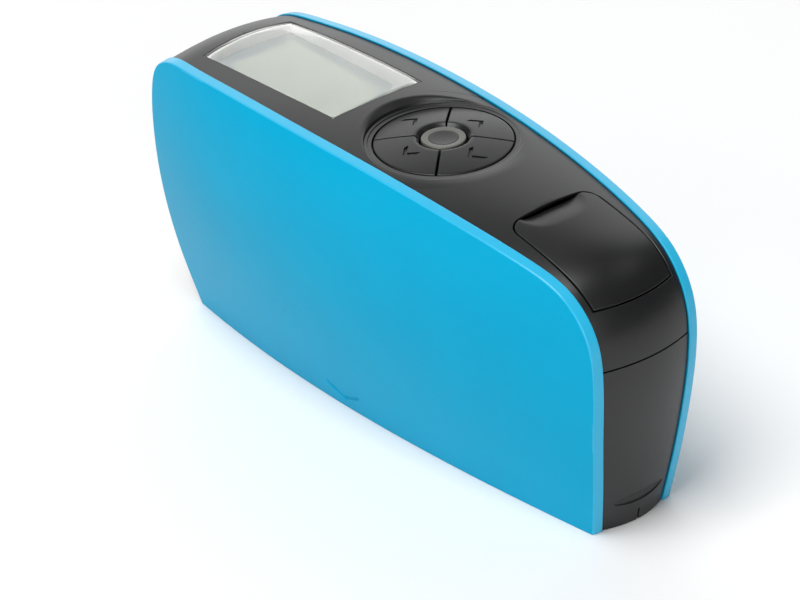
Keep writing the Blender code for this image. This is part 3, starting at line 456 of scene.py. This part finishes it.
# ---------------------------------------------------------------- centre section
def centre_body(name, inset, side, base, rows, across, down):
    start, end = s_at(base, False), s_at(base, True)
    runs = stations(start, end, rows)
    spread = np.sin(np.linspace(-math.pi / 2, math.pi / 2, across)) * 0.35 + np.linspace(-1, 1, across) * 0.65
    point, normal = outline(runs)
    edge = point - normal * inset
    edge[0] = [point[0, 0] + inset, base]
    edge[-1] = [point[-1, 0] - inset, base]
    edge[:, 1] = np.maximum(edge[:, 1], base)
    flat = normal.copy()
    flat[0], flat[-1] = (-1, 0), (1, 0)
    half = half_width(edge[:, 0], edge[:, 1]) - side
    rise = crown(flat, runs)[:, None] * (1 - spread[None, :] ** 2)
    top = np.zeros((rows, across, 3))
    top[:, :, 0] = edge[:, 0:1] + flat[:, 0:1] * rise
    top[:, :, 1] = spread[None, :] * half[:, None]
    top[:, :, 2] = np.maximum(edge[:, 1:2] + flat[:, 1:2] * rise, base)
    share = ((runs - start) / (end - start))[:, None]
    foot = edge[0][None, :] + (edge[-1] - edge[0])[None, :] * share
    t = np.linspace(0, 1, down)
    x = foot[:, 0:1] + (edge[:, 0:1] - foot[:, 0:1]) * t
    z = foot[:, 1:2] + (edge[:, 1:2] - foot[:, 1:2]) * t
    y = half_width(x, z) - side
    points = [top.reshape(-1, 3)]
    faces = grid_faces(rows, across)
    offset = rows * across
    starts = []
    for sign in (-1, 1):
        points.append(np.stack([x, y * sign, z], axis=2).reshape(-1, 3))
        faces += grid_faces(rows, down, offset)
        starts.append(offset)
        offset += rows * down
    for i in range(rows - 1):
        faces.append((starts[0] + i * down, starts[0] + (i + 1) * down, starts[1] + (i + 1) * down, starts[1] + i * down))
    faces.append(tuple(range(across)))
    faces.append(tuple(range((rows - 1) * across, rows * across)))
    return link(name, np.concatenate(points), faces)


def cylinder(x, y, r, low, high, sides=24):
    return turned("tool", [(0, low), (r, low), (r, high), (0, high)], sides, Matrix.Translation((x, y, 0)))


def block(low, high):
    (x0, y0, z0), (x1, y1, z1) = low, high
    return loops_solid("tool", [[(x0, y0, z), (x1, y0, z), (x1, y1, z), (x0, y1, z)] for z in (z0, z1)])


KEY_PLACE = Matrix.Translation((KEY_X, 0, KEY_Z)) @ Matrix.Rotation(KEY_TILT, 4, "Y")


def window_ring(grow, n=16):
    back_x, front_x, half = WINDOW_BACK - grow, WINDOW_FRONT + grow, WINDOW_HALF + grow
    t = -1 + 2 * np.arange(n) / n
    ring = [np.stack([front_x + WINDOW_BOW_FRONT * (1 - t * t), half * t], axis=1)]
    ring.append(np.stack([front_x + (back_x - front_x) * (t + 1) / 2, half + WINDOW_BOW_SIDE * (1 - t * t)], axis=1))
    ring.append(np.stack([back_x - WINDOW_BOW_BACK * (1 - t * t), -half * t], axis=1))
    ring.append(np.stack([back_x + (front_x - back_x) * (t + 1) / 2, -half - WINDOW_BOW_SIDE * (1 - t * t)], axis=1))
    return np.concatenate(ring)


def window_loop(grow, inset=None, level=None):
    ring = window_ring(grow)
    if level is not None:
        return np.concatenate([ring, np.full((len(ring), 1), level)], axis=1)
    found = top_point(ring[:, 0], ring[:, 1], inset)
    found[:, 0] = ring[:, 0]
    return found


def s_low(y):
    """Run lengths where the outer face comes down to the door's lower seam, at the widths y."""
    y = np.asarray(y, float)
    low, high = np.full(y.shape, S_END - 60), np.full(y.shape, S_END)
    for _ in range(40):
        middle = (low + high) / 2
        above = surface(middle, y)[..., 2] > DOOR_Z_LOW
        low, high = np.where(above, middle, low), np.where(above, high, middle)
    return (low + high) / 2


def scoop_depth(along, y):
    """Depth of the finger scoop, at a distance along the door from its back edge."""
    along, y = np.broadcast_arrays(np.asarray(along, float), np.asarray(y, float))
    side = np.clip(np.abs(y) / SCOOP_WIDE, 0, 1)
    reach = SCOOP_LONG * np.sqrt(1 - side**3) + 1e-9
    share = np.clip(1 - np.maximum(along, 0) / reach, 0, 1)
    return np.where(along > -1, SCOOP_DEEP * share**1.5 * (1 - side**4), 0.0)


def door_grid(grow, inset, scooped, columns=61, rows=80):
    half, corner = DOOR_HALF + grow, DOOR_CORNER + grow
    back_s = DOOR_S_BACK - grow
    angles = np.linspace(0, math.pi / 2, 11)
    left = -half + corner * (1 - np.cos(angles))
    middle = np.linspace(-half + corner, half - corner, columns - 20)[1:-1]
    widths = np.concatenate([left, middle, -left[::-1]])
    over = np.maximum(0.0, np.abs(widths) - (half - corner))
    start = back_s + corner - np.sqrt(np.maximum(0.0, corner**2 - over**2))
    t = (np.arange(rows) / (rows - 1)) ** 1.15
    low_s = s_low(widths * (1 - DOOR_TAPER / half)) + grow
    s = start[None, :] + (low_s - start)[None, :] * t[:, None]
    y = np.broadcast_to(widths[None, :], s.shape)
    share = np.clip((s - TAPER_S) / (low_s - TAPER_S)[None, :], 0, 1)
    across = y * (1 - DOOR_TAPER / half * share**2)
    deep = np.full(s.shape, float(inset))
    if scooped:
        deep = deep + np.maximum(0.0, scoop_depth(s - DOOR_S_BACK, y) - 0.7 * min(1.0, inset / DOOR_THICK))
    return surface(s, across, deep)


def rim_of(grid):
    return np.concatenate([grid[0, :-1], grid[:-1, -1], grid[-1, :0:-1], grid[:0:-1, 0]])


def pillow(name, levels, scooped, columns=61, rows=80, angle=30.0):
    """A curved plate from (grow, inset) levels: the first and last are whole faces, the rest only their rims."""
    grids = [door_grid(grow, inset, scooped, columns, rows) for grow, inset in (levels[0], levels[-1])]
    points = [grids[0].reshape(-1, 3), grids[1].reshape(-1, 3)]
    r, c = grids[0].shape[:2]
    faces = grid_faces(r, c) + grid_faces(r, c, r * c)
    offset = 2 * r * c
    count = 2 * (r - 1) + 2 * (c - 1)
    for grow, inset in levels:
        points.append(rim_of(door_grid(grow, inset, scooped, columns, rows)))
    faces += grid_faces(len(levels), count, offset, wrap=True)
    return link(name, np.concatenate(points), faces, angle)


# The dish round the keys, as a height over the keys' plane for each radius
DISH = rounded(
    [(KEY_HOLE_R, -0.04), (16.66, 0.02), (16.8, 0.26), (17.35, 0.34), (17.55, 0.92), (19.0, 2.06), (22.0, 4.4)],
    [0.06, 0.06, 0.1, 0.1, 1.0], 5,
)
DISH_R = np.array([p[0] for p in DISH])
DISH_H = np.array([p[1] for p in DISH])
PATCH_R = 20.9


def smooth_least(a, b, k):
    h = np.clip(0.5 + 0.5 * (b - a) / k, 0, 1)
    return b * (1 - h) + a * h - k * h * (1 - h)


def dish_patch():
    sides = 240
    radii = np.unique(np.concatenate([DISH_R[DISH_R < PATCH_R], np.linspace(KEY_HOLE_R, PATCH_R, 30), [PATCH_R + 0.02]]))
    angle = 2 * np.pi * np.arange(sides) / sides
    r, a = np.meshgrid(radii, angle, indexing="ij")
    x, y = KEY_X + r * np.cos(a), r * np.sin(a)
    plane = KEY_Z - (x - KEY_X) * math.tan(KEY_TILT)
    height = top_point(x, y)[..., 2] - plane
    # Toward the battery end the top eases down to meet the keys
    ease = np.clip((r - KEY_HOLE_R) / (PATCH_R - KEY_HOLE_R), 0, 1)
    ease = ease * ease * (3 - 2 * ease)
    height = height * (1 - 0.85 * np.clip(np.cos(a), 0, 1) * (1 - ease))
    profile = np.interp(r, DISH_R, DISH_H)
    blended = smooth_least(height, profile, 0.6)
    # The blend fades out where the surface is well below the profile
    edge = np.clip((PATCH_R - r) / 1.2, 0, 1)
    z = plane + height * (1 - edge) + np.minimum(blended, height) * edge
    z = np.where(r >= PATCH_R - 1e-6, plane + height, z)
    top = np.stack([x, y, z], axis=2)
    wall = top[0].copy()
    wall[:, 2] = KEY_Z - 2.1
    foot = top[-1].copy()
    foot[:, 2] = KEY_Z - 2.1
    loops = [wall] + [ring for ring in top] + [foot, wall]
    return loops_solid("patch", loops, caps=False)


def make_housings():
    cavity = centre_body("cavity", RECESS + WALL, SHELL_GAP + WALL, FLOOR, 60, 9, 4)
    kept = [turned("kept", [(0, -2.1), (21.3, -2.1), (21.3, 12), (0, 12)], 48, KEY_PLACE)]
    kept += [cylinder(x, y, 2.2, -5, 90, 20) for x, y in POSTS]
    kept += [cylinder(x, y, 2.0, 63.1, 90, 16) for x, y in BOSSES]
    cut(cavity, kept)
    whole = centre_body("whole", RECESS, SHELL_GAP * 0.4, 0.0, 190, 41, 6)
    tall = centre_body("tall", RECESS - 3.0, SHELL_GAP * 0.4, 0.0, 120, 7, 6)
    cut(whole, [cavity])
    upper = whole
    lower = whole.copy()
    lower.data = whole.data.copy()
    bpy.context.scene.collection.objects.link(lower)
    soft = 0.12
    cut(upper, [block((-100, -50, -5), (100, 50, SEAM_Z + SEAM_GAP / 2))])
    cut(lower, [block((-100, -50, SEAM_Z - SEAM_GAP / 2), (100, 50, 90))])

    # Display opening with a softened rim
    loops = [window_loop(soft + 0.4, level=80), window_loop(soft + 0.02, inset=-0.06), window_loop(soft, inset=0.0)]
    for step in (1, 2, 3):
        a = step / 3 * math.pi / 2
        loops.append(window_loop(soft * (1 - math.sin(a)), inset=soft * (1 - math.cos(a)) + 0.004))
    loops.append(window_loop(0.0, level=62))
    cut(upper, [loops_solid("opening", loops)])

    # Keypad: a plain hole, filled by the dish patch
    cut(upper, [turned("hole", [(0, -9), (PATCH_R, -9), (PATCH_R, 9), (0, 9)], 240, Matrix.Translation((KEY_X, 0, KEY_Z)))])
    patch = dish_patch()
    cut(patch, [tall], "INTERSECT")
    ledge = turned("ledge", [(0, -9), (KEY_FLANGE_R + 0.4, -9), (KEY_FLANGE_R + 0.4, -1.35), (0, -1.35)], 96, KEY_PLACE)
    cut(patch, [ledge])

    # Battery opening with a softened rim, and the fingernail pocket behind the scoop
    levels = [(DOOR_GAP + soft + 1.0, -1.0), (DOOR_GAP + soft, 0.0)]
    for step in (1, 2, 3):
        a = step / 3 * math.pi / 2
        levels.append((DOOR_GAP + soft * (1 - math.sin(a)), soft * (1 - math.cos(a))))
    levels.append((DOOR_GAP, 4.5))
    cut(upper, [pillow("door_opening", levels, False, 41, 50)])
    widths = np.linspace(-7.4, 7.4, 13)
    lip = np.stack([surface(DOOR_S_BACK - 3.0, widths, 1.0), surface(DOOR_S_BACK + 0.3, widths, 0.4)])
    low = np.stack([surface(DOOR_S_BACK - 3.0, widths, 4.0), surface(DOOR_S_BACK + 0.3, widths, 4.0)])
    cut(upper, [loops_solid("pocket", [rim_of(lip), rim_of(low)])])
    cut(upper, [cylinder(x, y, 1.15, 40, 52, 20) for x, y in POSTS])
    cut(upper, [cylinder(x, y, 0.95, 60, 66.2, 16) for x, y in BOSSES])
    join(upper, [patch])

    # Lower half: post holes, aperture, screw seats, finger recess and centre mark
    tools = [turned("tool", [(0, -2), (1.95, -2), (1.95, 36), (1.35, 36), (1.35, 50), (0, 50)], 28, Matrix.Translation((x, y, 0))) for x, y in POSTS]
    tools += [turned("tool", [(0, -1), (2.1, -1), (2.1, 1.3), (1.25, 1.3), (1.25, 5), (0, 5)], 28, Matrix.Translation((x, y, 0))) for x, y in BLOCK_SCREWS]
    tools.append(block((SPOT_X - SPOT_HALF_X, -SPOT_HALF_Y, -2), (SPOT_X + SPOT_HALF_X, SPOT_HALF_Y, FLOOR + 2)))
    loops = []
    for k in range(41):
        t = -math.cos(math.pi * k / 40)
        size = math.sqrt(max(0.0, 1 - t * t))
        a = 2 * np.pi * np.arange(28) / 28
        s = np.array([s_at(CRESCENT_Z + CRESCENT_HIGH * size * math.cos(v), True) for v in a])
        loops.append(surface(s, CRESCENT_HALF * t, CRESCENT_DEEP * size * np.sin(a)))
    tools.append(loops_solid("crescent", loops, caps=False))
    x_front = surface(s_at(2.0, True), 0.0)[0]
    tools.append(block((x_front - 0.75, -0.2, -1), (x_front + 3, 0.2, 3.1)))
    cut(lower, tools)
    for made in (upper, lower):
        clean(made)
        shade(made, 32)
        refine_normals(made, centre_skin)
    return upper, lower


upper_housing, lower_housing = make_housings()
upper_housing.name, lower_housing.name = "housing_top", "housing_base"


# ---------------------------------------------------------------- battery door
def make_door():
    r = 0.14
    levels = [(-r, 0.0)]
    for step in (1, 2, 3):
        a = step / 3 * math.pi / 2
        levels.append((-r * (1 - math.sin(a)), r * (1 - math.cos(a))))
    levels += [(0.0, DOOR_THICK - 0.1), (-0.1, DOOR_THICK)]
    return pillow("door_cover", levels, True)


door = make_door()
shell_left = side_shell("cover_left", 1)
shell_right = side_shell("cover_right", -1)


# ---------------------------------------------------------------- display
def make_window():
    r = 0.1
    grow = -0.04
    loops = [window_loop(grow - r, inset=0.05)]
    for step in (1, 2, 3):
        a = step / 3 * math.pi / 2
        loops.append(window_loop(grow - r * (1 - math.sin(a)), inset=0.05 + r * (1 - math.cos(a))))
    loops.append(window_loop(grow, inset=0.06 + WINDOW_THICK))
    ring = len(loops[0])
    points = list(loops)
    faces = grid_faces(len(loops), ring, wrap=True)
    offset = len(loops) * ring
    # Curved faces as grids that fill the ring: straight lines from side to side
    n = ring // 4
    for loop, inset in ((loops[0], 0.05), (loops[-1], 0.06 + WINDOW_THICK)):
        left = [loop[n + i] for i in range(n)] + [loop[2 * n]]
        near = [loop[(4 * n - i) % ring] for i in range(n + 1)]
        front = [loop[i] for i in range(n)] + [loop[n]]
        grid = np.zeros((n + 1, n + 1, 3))
        back_side = [loop[3 * n - i] for i in range(n)] + [loop[2 * n]]
        for i in range(n + 1):
            u = i / n
            for j in range(n + 1):
                v = j / n
                flat = (
                    (1 - v) * near[i] + v * left[i] + (1 - u) * front[j] + u * back_side[j]
                    - (1 - u) * (1 - v) * near[0] - (1 - u) * v * left[0] - u * (1 - v) * near[n] - u * v * left[n]
                )
                grid[i, j] = flat
        lifted = top_point(grid[..., 0], grid[..., 1], inset)
        grid[1:-1, 1:-1, 2] = lifted[1:-1, 1:-1, 2]
        points.append(grid.reshape(-1, 3))
        faces += grid_faces(n + 1, n + 1, offset)
        offset += (n + 1) * (n + 1)
    return link("window_pane", np.concatenate(points), faces)


window = make_window()


def make_frame():
    """The pale wall round the display, from just under the window down to the glass."""
    loops = []
    for grow, inset in ((-0.3, 0.36 + WINDOW_THICK), (-0.95, 0.36 + WINDOW_THICK)):
        loops.append(window_loop(grow, inset=inset))
    loops.append(window_loop(-1.0, inset=0.42 + WINDOW_THICK))
    loops.append(window_loop(-1.0, level=PANEL_LOW))
    loops.append(window_loop(-0.3, level=PANEL_LOW))
    loops.append(loops[0])
    return loops_solid("display_surround", loops, caps=False)


surround = make_frame()


def make_panel():
    loops = [window_loop(-1.1, level=PANEL_LOW), window_loop(-1.05, level=PANEL_LOW + 0.05), window_loop(-1.05, level=PANEL_TOP - 0.05), window_loop(-1.1, level=PANEL_TOP)]
    return loops_solid("display_glass", loops)


panel = make_panel()


# ---------------------------------------------------------------- keys and button
def key_rise(radius):
    return KEY_DOME * (1 - (radius / KEY_R) ** 2)


def make_key(name, turn, mark_r, lean, half=MARK_HALF):
    """A quarter of the domed key disc, with softened edges, a flange below and an engraved chevron at mark_r, turned by lean."""
    steps, spans = 49, 26
    levels = (  # height, share of the dome's rise, inner radius, outer radius, tuck of the radial edges
        (0.0, 1, WELL_TOP_R + 0.55, KEY_R - 0.18, 0.14),
        (-0.045, 1, WELL_TOP_R + 0.18, KEY_R - 0.11, 0.07),
        (-0.12, 1, WELL_TOP_R - 0.04, KEY_R - 0.04, 0.02),
        (-0.27, 1, WELL_TOP_R - 0.2, KEY_R, 0.0),
        (-WELL_DEPTH, 1, WELL_R, KEY_R, 0.0),
        (-1.65, 0, WELL_R, KEY_R, 0.0),
        (-1.65, 0, WELL_R, KEY_FLANGE_R, 0.0),
        (-KEY_THICK, 0, WELL_R, KEY_FLANGE_R, 0.0),
    )
    points = []
    for height, share, inner, outer, tuck in levels:
        rim = min(outer, KEY_R)
        for radius in [*np.linspace(inner, rim, spans - 1), outer]:
            spare = math.asin((KEY_GAP / 2 + tuck) / radius)
            angle = np.linspace(-math.pi / 4 + spare, math.pi / 4 - spare, steps)
            level = np.full(steps, height + share * key_rise(radius))
            points.append(np.stack([radius * np.cos(angle), radius * np.sin(angle), level], axis=1))
    points = np.concatenate(points)
    each = steps * spans
    edge = list(range(steps - 1)) + [i * steps + steps - 1 for i in range(spans - 1)]
    edge += [(spans - 1) * steps + j for j in range(steps - 1, 0, -1)] + [i * steps for i in range(spans - 1, 0, -1)]
    faces = []
    for level in range(len(levels) - 1):
        for i, j in zip(edge, edge[1:] + edge[:1]):
            faces.append((level * each + i, level * each + j, (level + 1) * each + j, (level + 1) * each + i))
    faces += grid_faces(spans, steps) + grid_faces(spans, steps, (len(levels) - 1) * each)
    made = link(name, points, faces)
    a, w = half, MARK_STROKE
    marks = np.array([(w * 0.7 - a / 2, a), (w * 0.7 + a / 2, 0), (w * 0.7 - a / 2, -a)])
    behind = marks - np.array([w * math.sqrt(2), 0])
    turning = np.array([[math.cos(lean), math.sin(lean)], [-math.sin(lean), math.cos(lean)]])
    ring = np.concatenate([marks, behind[::-1]]) @ turning + np.array([mark_r, 0])
    middle = np.concatenate([marks - np.array([w * 0.7, 0]), (marks - np.array([w * 0.7, 0]))[::-1]]) @ turning + np.array([mark_r, 0])
    loops = []
    for height, shrink in ((1.0, 0.0), (0.05, 0.0), (-MARK_DEEP * 0.85, 0.04), (-MARK_DEEP, 0.16)):
        loop = [p + (m - p) * shrink for p, m in zip(ring, middle)]
        loops.append([(p[0], p[1], key_rise(math.hypot(*p)) + height) for p in loop])
    cut(made, [loops_solid("mark", loops)])
    shade(made, 30)
    made.data.transform(scaled(KEY_PLACE @ Matrix.Rotation(turn, 4, "Z")))
    return made


keys = {
    "key_front": make_key("pad_front", 0.0, 10.6, -math.pi / 2, 2.5),
    "key_left": make_key("pad_left", math.pi / 2, 9.7, 0.0),
    "key_back": make_key("pad_back", math.pi, 11.0, -math.pi / 2),
    "key_right": make_key("pad_right", -math.pi / 2, 9.7, 0.0),
}
d = BUTTON_HIGH
button_ring = turned(
    "light_ring",
    rounded([(BUTTON_CAP_R, d - 1.0), (BUTTON_CAP_R, d - 0.12), (BUTTON_R, d), (BUTTON_R, -2.1), (BUTTON_CAP_R, -2.1)], [0.06, 0.4, 0.05], 5),
    120, KEY_PLACE,
)
button_cap = turned(
    "button_dish",
    [(0, d - 0.30), (0.8, d - 0.29), (1.6, d - 0.255), (2.2, d - 0.21), (2.7, d - 0.165), (3.0, d - 0.14), (3.2, d - 0.125), (3.27, d - 0.14), (3.3, d - 0.19), (3.3, -2.1), (0, -2.1)],
    120, KEY_PLACE,
)


# ---------------------------------------------------------------- materials
def new_material(name):
    made = bpy.data.materials.new(name)
    made.use_nodes = True
    return made, made.node_tree.nodes, made.node_tree.links, made.node_tree.nodes["Principled BSDF"]


def plastic(name, low, high, rough, spread=0.06, grain=0.00035, bump=0.12, bump_size=0.00002, specular=0.5, coat=0.0, coat_rough=0.1, patch=0.02):
    """Moulded plastic: colour that drifts slightly, uneven gloss, and the fine spark-eroded grain of the mould."""
    made, nodes, links, shader = new_material(name)
    place = nodes.new("ShaderNodeTexCoord")
    drift = nodes.new("ShaderNodeTexNoise")
    drift.inputs["Scale"].default_value = 1 / patch
    drift.inputs["Detail"].default_value = 3
    links.new(place.outputs["Object"], drift.inputs["Vector"])
    ramp = nodes.new("ShaderNodeValToRGB")
    ramp.color_ramp.elements[0].position, ramp.color_ramp.elements[1].position = 0.3, 0.7
    ramp.color_ramp.elements[0].color = (*low, 1)
    ramp.color_ramp.elements[1].color = (*high, 1)
    links.new(drift.outputs["Fac"], ramp.inputs["Fac"])
    links.new(ramp.outputs["Color"], shader.inputs["Base Color"])
    fine = nodes.new("ShaderNodeTexNoise")
    fine.inputs["Scale"].default_value = 1 / grain
    fine.inputs["Detail"].default_value = 4
    links.new(place.outputs["Object"], fine.inputs["Vector"])
    gloss = nodes.new("ShaderNodeMapRange")
    gloss.inputs["To Min"].default_value = rough - spread
    gloss.inputs["To Max"].default_value = rough + spread
    links.new(fine.outputs["Fac"], gloss.inputs["Value"])
    links.new(gloss.outputs["Result"], shader.inputs["Roughness"])
    relief = nodes.new("ShaderNodeBump")
    relief.inputs["Strength"].default_value = bump
    relief.inputs["Distance"].default_value = bump_size
    links.new(fine.outputs["Fac"], relief.inputs["Height"])
    links.new(relief.outputs["Normal"], shader.inputs["Normal"])
    shader.inputs["Specular IOR Level"].default_value = specular
    shader.inputs["Coat Weight"].default_value = coat
    shader.inputs["Coat Roughness"].default_value = coat_rough
    return made


BLUE = plastic("blue_plastic", (0.0, 0.328, 0.548), (0.0, 0.343, 0.568), 0.34, grain=0.0004, bump=0.08, specular=0.06)
# The band round each side cover: the same blue plastic, glossier, with its colour painted lighter as a painted sheen
BAND_PAINTED_SHEEN = plastic("blue_edge", (0.02, 0.4, 0.65), (0.025, 0.42, 0.67), 0.3, grain=0.0004, bump=0.05, specular=0.42)
DARK = plastic("dark_plastic", (0.0065, 0.0068, 0.0075), (0.0085, 0.0088, 0.0095), 0.36)
KEYS = plastic("key_plastic", (0.0065, 0.0068, 0.0075), (0.0085, 0.0088, 0.0095), 0.36, specular=0.38)
DOOR = plastic("door_plastic", (0.0065, 0.0067, 0.007), (0.0085, 0.0087, 0.009), 0.36, specular=0.47)
PALE = plastic("pale_frame", (0.92, 0.90, 0.885), (0.94, 0.92, 0.905), 0.45)
RING = plastic("light_ring", (0.076, 0.076, 0.066), (0.085, 0.085, 0.073), 0.3, spread=0.02, grain=0.0002, bump=0.03)
RUBBER = plastic("grey_rubber", (0.2, 0.2, 0.21), (0.24, 0.24, 0.25), 0.7)
GREEN = plastic("board_green", (0.015, 0.13, 0.055), (0.02, 0.17, 0.075), 0.4)
BLACK = plastic("black_block", (0.012, 0.012, 0.013), (0.02, 0.02, 0.021), 0.65)
CELL = plastic("cell_wrap", (0.09, 0.11, 0.15), (0.11, 0.13, 0.17), 0.3)


def metal(name, colour, rough, grain=0.0006):
    made = plastic(name, colour, tuple(c * 0.9 for c in colour), rough, grain=grain, bump=0.1)
    made.node_tree.nodes["Principled BSDF"].inputs["Metallic"].default_value = 1.0
    return made


STEEL = metal("steel", (0.56, 0.57, 0.59), 0.28)
CAN = metal("sensor_can", (0.68, 0.62, 0.46), 0.3)


def clear(name, colour, rough=0.02, ior=1.49):
    made, nodes, links, shader = new_material(name)
    place = nodes.new("ShaderNodeTexCoord")
    smear = nodes.new("ShaderNodeTexNoise")
    smear.inputs["Scale"].default_value = 60
    links.new(place.outputs["Object"], smear.inputs["Vector"])
    gloss = nodes.new("ShaderNodeMapRange")
    gloss.inputs["To Min"].default_value = rough
    gloss.inputs["To Max"].default_value = rough + 0.03
    links.new(smear.outputs["Fac"], gloss.inputs["Value"])
    links.new(gloss.outputs["Result"], shader.inputs["Roughness"])
    shader.inputs["Base Color"].default_value = (*colour, 1)
    shader.inputs["Transmission Weight"].default_value = 1.0
    shader.inputs["IOR"].default_value = ior
    return made


CLEAR = clear("clear_plastic", (0.97, 0.98, 0.97))
GLASS = clear("lens_glass", (0.98, 0.99, 1.0), 0.0, 1.52)
LAMP = clear("lamp_body", (0.93, 0.93, 0.88), 0.1, 1.5)


def display_material():
    """Reflective liquid-crystal glass: pale green-grey with a faint raster, under a smooth polariser."""
    made, nodes, links, shader = new_material("display_panel")
    place = nodes.new("ShaderNodeTexCoord")
    raster = nodes.new("ShaderNodeTexChecker")
    raster.inputs["Scale"].default_value = 1 / 0.0004
    raster.inputs["Color1"].default_value = (0.31, 0.375, 0.44, 1)
    raster.inputs["Color2"].default_value = (0.34, 0.405, 0.47, 1)
    links.new(place.outputs["Object"], raster.inputs["Vector"])
    links.new(raster.outputs["Color"], shader.inputs["Base Color"])
    shader.inputs["Roughness"].default_value = 0.13
    shader.inputs["IOR"].default_value = 2.4
    shader.inputs["Specular Tint"].default_value = (1.0, 0.97, 0.42, 1)
    return made


PANEL = display_material()

SLOTS = {
    "blue_plastic": BLUE, "dark_plastic": DARK, "key_plastic": KEYS, "clear_plastic": CLEAR, "pale_frame": PALE,
    "display_panel": PANEL, "light_ring": RING, "grey_rubber": RUBBER, "board_green": GREEN, "black_block": BLACK,
    "steel": STEEL, "lens_glass": GLASS, "sensor_can": CAN, "lamp_body": LAMP, "cell_wrap": CELL,
}
slot_of = {part["node"]: part["material_slot"] for part in frame["record"]["subparts"]}
for node, made in frame["nodes"].items():
    made.data.materials.clear()
    made.data.materials.append(SLOTS[slot_of[node]])


def stand_in(piece, node, body, slot, stuff=None, edge=None):
    """Puts the piece in its node's place. The edge is a second material for the slanting band round a side cover: the
    same blue plastic with a glossier finish, its colour painted lighter as a painted sheen.
    """
    piece.data.materials.clear()
    piece.data.materials.append(stuff or SLOTS[slot])
    if edge:
        piece.data.materials.append(edge)
    for face in piece.data.polygons:
        x, y, z = face.center / MM
        rise = abs(y) - half_width(x, z)
        groove = z < 9 and abs(x - SPOT_X) < 12
        # The slanting band's faces take the second material, the blue with the painted sheen
        face.material_index = 1 if edge and 0.0 < rise < SHELL_EDGE - 0.03 and z > 0.2 and not groove else 0
    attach(piece, body)
    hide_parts(node)


stand_in(upper_housing, "upper_housing", "meter", "dark_plastic")
stand_in(lower_housing, "lower_housing", "meter", "dark_plastic")
stand_in(shell_left, "side_shell_left", "meter", "blue_plastic", edge=BAND_PAINTED_SHEEN)
stand_in(shell_right, "side_shell_right", "meter", "blue_plastic", edge=BAND_PAINTED_SHEEN)
stand_in(window, "display_window", "meter", "clear_plastic")
stand_in(surround, "display_frame", "meter", "pale_frame")
stand_in(panel, "display_panel", "meter", "display_panel")
stand_in(door, "battery_door", "door", "dark_plastic", DOOR)
for node, piece in keys.items():
    stand_in(piece, node, node.replace("key_", "") + "_key", "key_plastic")
stand_in(button_ring, "button_ring", "centre_button", "light_ring")
stand_in(button_cap, "button_cap", "centre_button", "key_plastic")


# ---------------------------------------------------------------- stage and light
def make_floor():
    made, nodes, links, shader = new_material("floor")
    place = nodes.new("ShaderNodeTexCoord")
    drift = nodes.new("ShaderNodeTexNoise")
    drift.inputs["Scale"].default_value = 3
    links.new(place.outputs["Object"], drift.inputs["Vector"])
    ramp = nodes.new("ShaderNodeValToRGB")
    ramp.color_ramp.elements[0].color = (0.84, 0.84, 0.84, 1)
    ramp.color_ramp.elements[1].color = (0.86, 0.86, 0.86, 1)
    links.new(drift.outputs["Fac"], ramp.inputs["Fac"])
    links.new(ramp.outputs["Color"], shader.inputs["Base Color"])
    shader.inputs["Roughness"].default_value = 0.6
    mesh = bpy.data.meshes.new("floor")
    mesh.from_pydata([(-6, -6, 0), (6, -6, 0), (6, 6, 0), (-6, 6, 0)], [], [(0, 1, 2, 3)])
    floor = bpy.data.objects.new("floor", mesh)
    floor.location.z = -0.0001
    bpy.context.scene.collection.objects.link(floor)
    mesh.materials.append(made)


make_floor()


def area(name, at, aim, size, power, colour=(1, 1, 1)):
    data = bpy.data.lights.new(name, "AREA")
    data.shape = "RECTANGLE"
    data.size, data.size_y = size
    data.energy = power
    data.color = colour
    made = bpy.data.objects.new(name, data)
    bpy.context.scene.collection.objects.link(made)
    made.location = at
    made.rotation_euler = (Vector(aim) - Vector(at)).to_track_quat("-Z", "Y").to_euler()
    return made


def softbox(name, toward, distance, size, radiance, colour=(1, 1, 1)):
    """A rectangular light in the given direction from the object; its face shows the given brightness."""
    away = Vector(toward).normalized() * distance
    return area(name, away + Vector((0, 0, 0.03)), (0, 0, 0.03), size, radiance * math.pi * size[0] * size[1], colour)


softbox("far_soft", (0.25, 0.6, 0.76), 2.2, (1.0, 0.6), 0.9)
softbox("back_soft", (-0.68, 0.53, 0.44), 2.6, (3.3, 2.3), 1.24)
softbox("back_low", (-0.78, 0.507, 0.1), 2.4, (4.4, 0.7), 0.8)
softbox("key_soft", (0.05, -0.33, 0.94), 1.8, (1.1, 1.1), 8.6)
softbox("side_soft", (-0.25, -0.9, 0.36), 2.0, (1.6, 1.2), 1.25)
softbox("front_soft", (0.85, -0.45, 0.3), 2.0, (1.4, 1.2), 3.0)

world = bpy.data.worlds.new("studio")
world.use_nodes = True
world.node_tree.nodes["Background"].inputs["Color"].default_value = (1, 1, 1, 1)
world.node_tree.nodes["Background"].inputs["Strength"].default_value = 0.05
bpy.context.scene.world = world
bpy.context.scene.view_settings.view_transform = "Standard"
bpy.context.scene.view_settings.look = "None"
bpy.context.scene.view_settings.exposure = 0.0
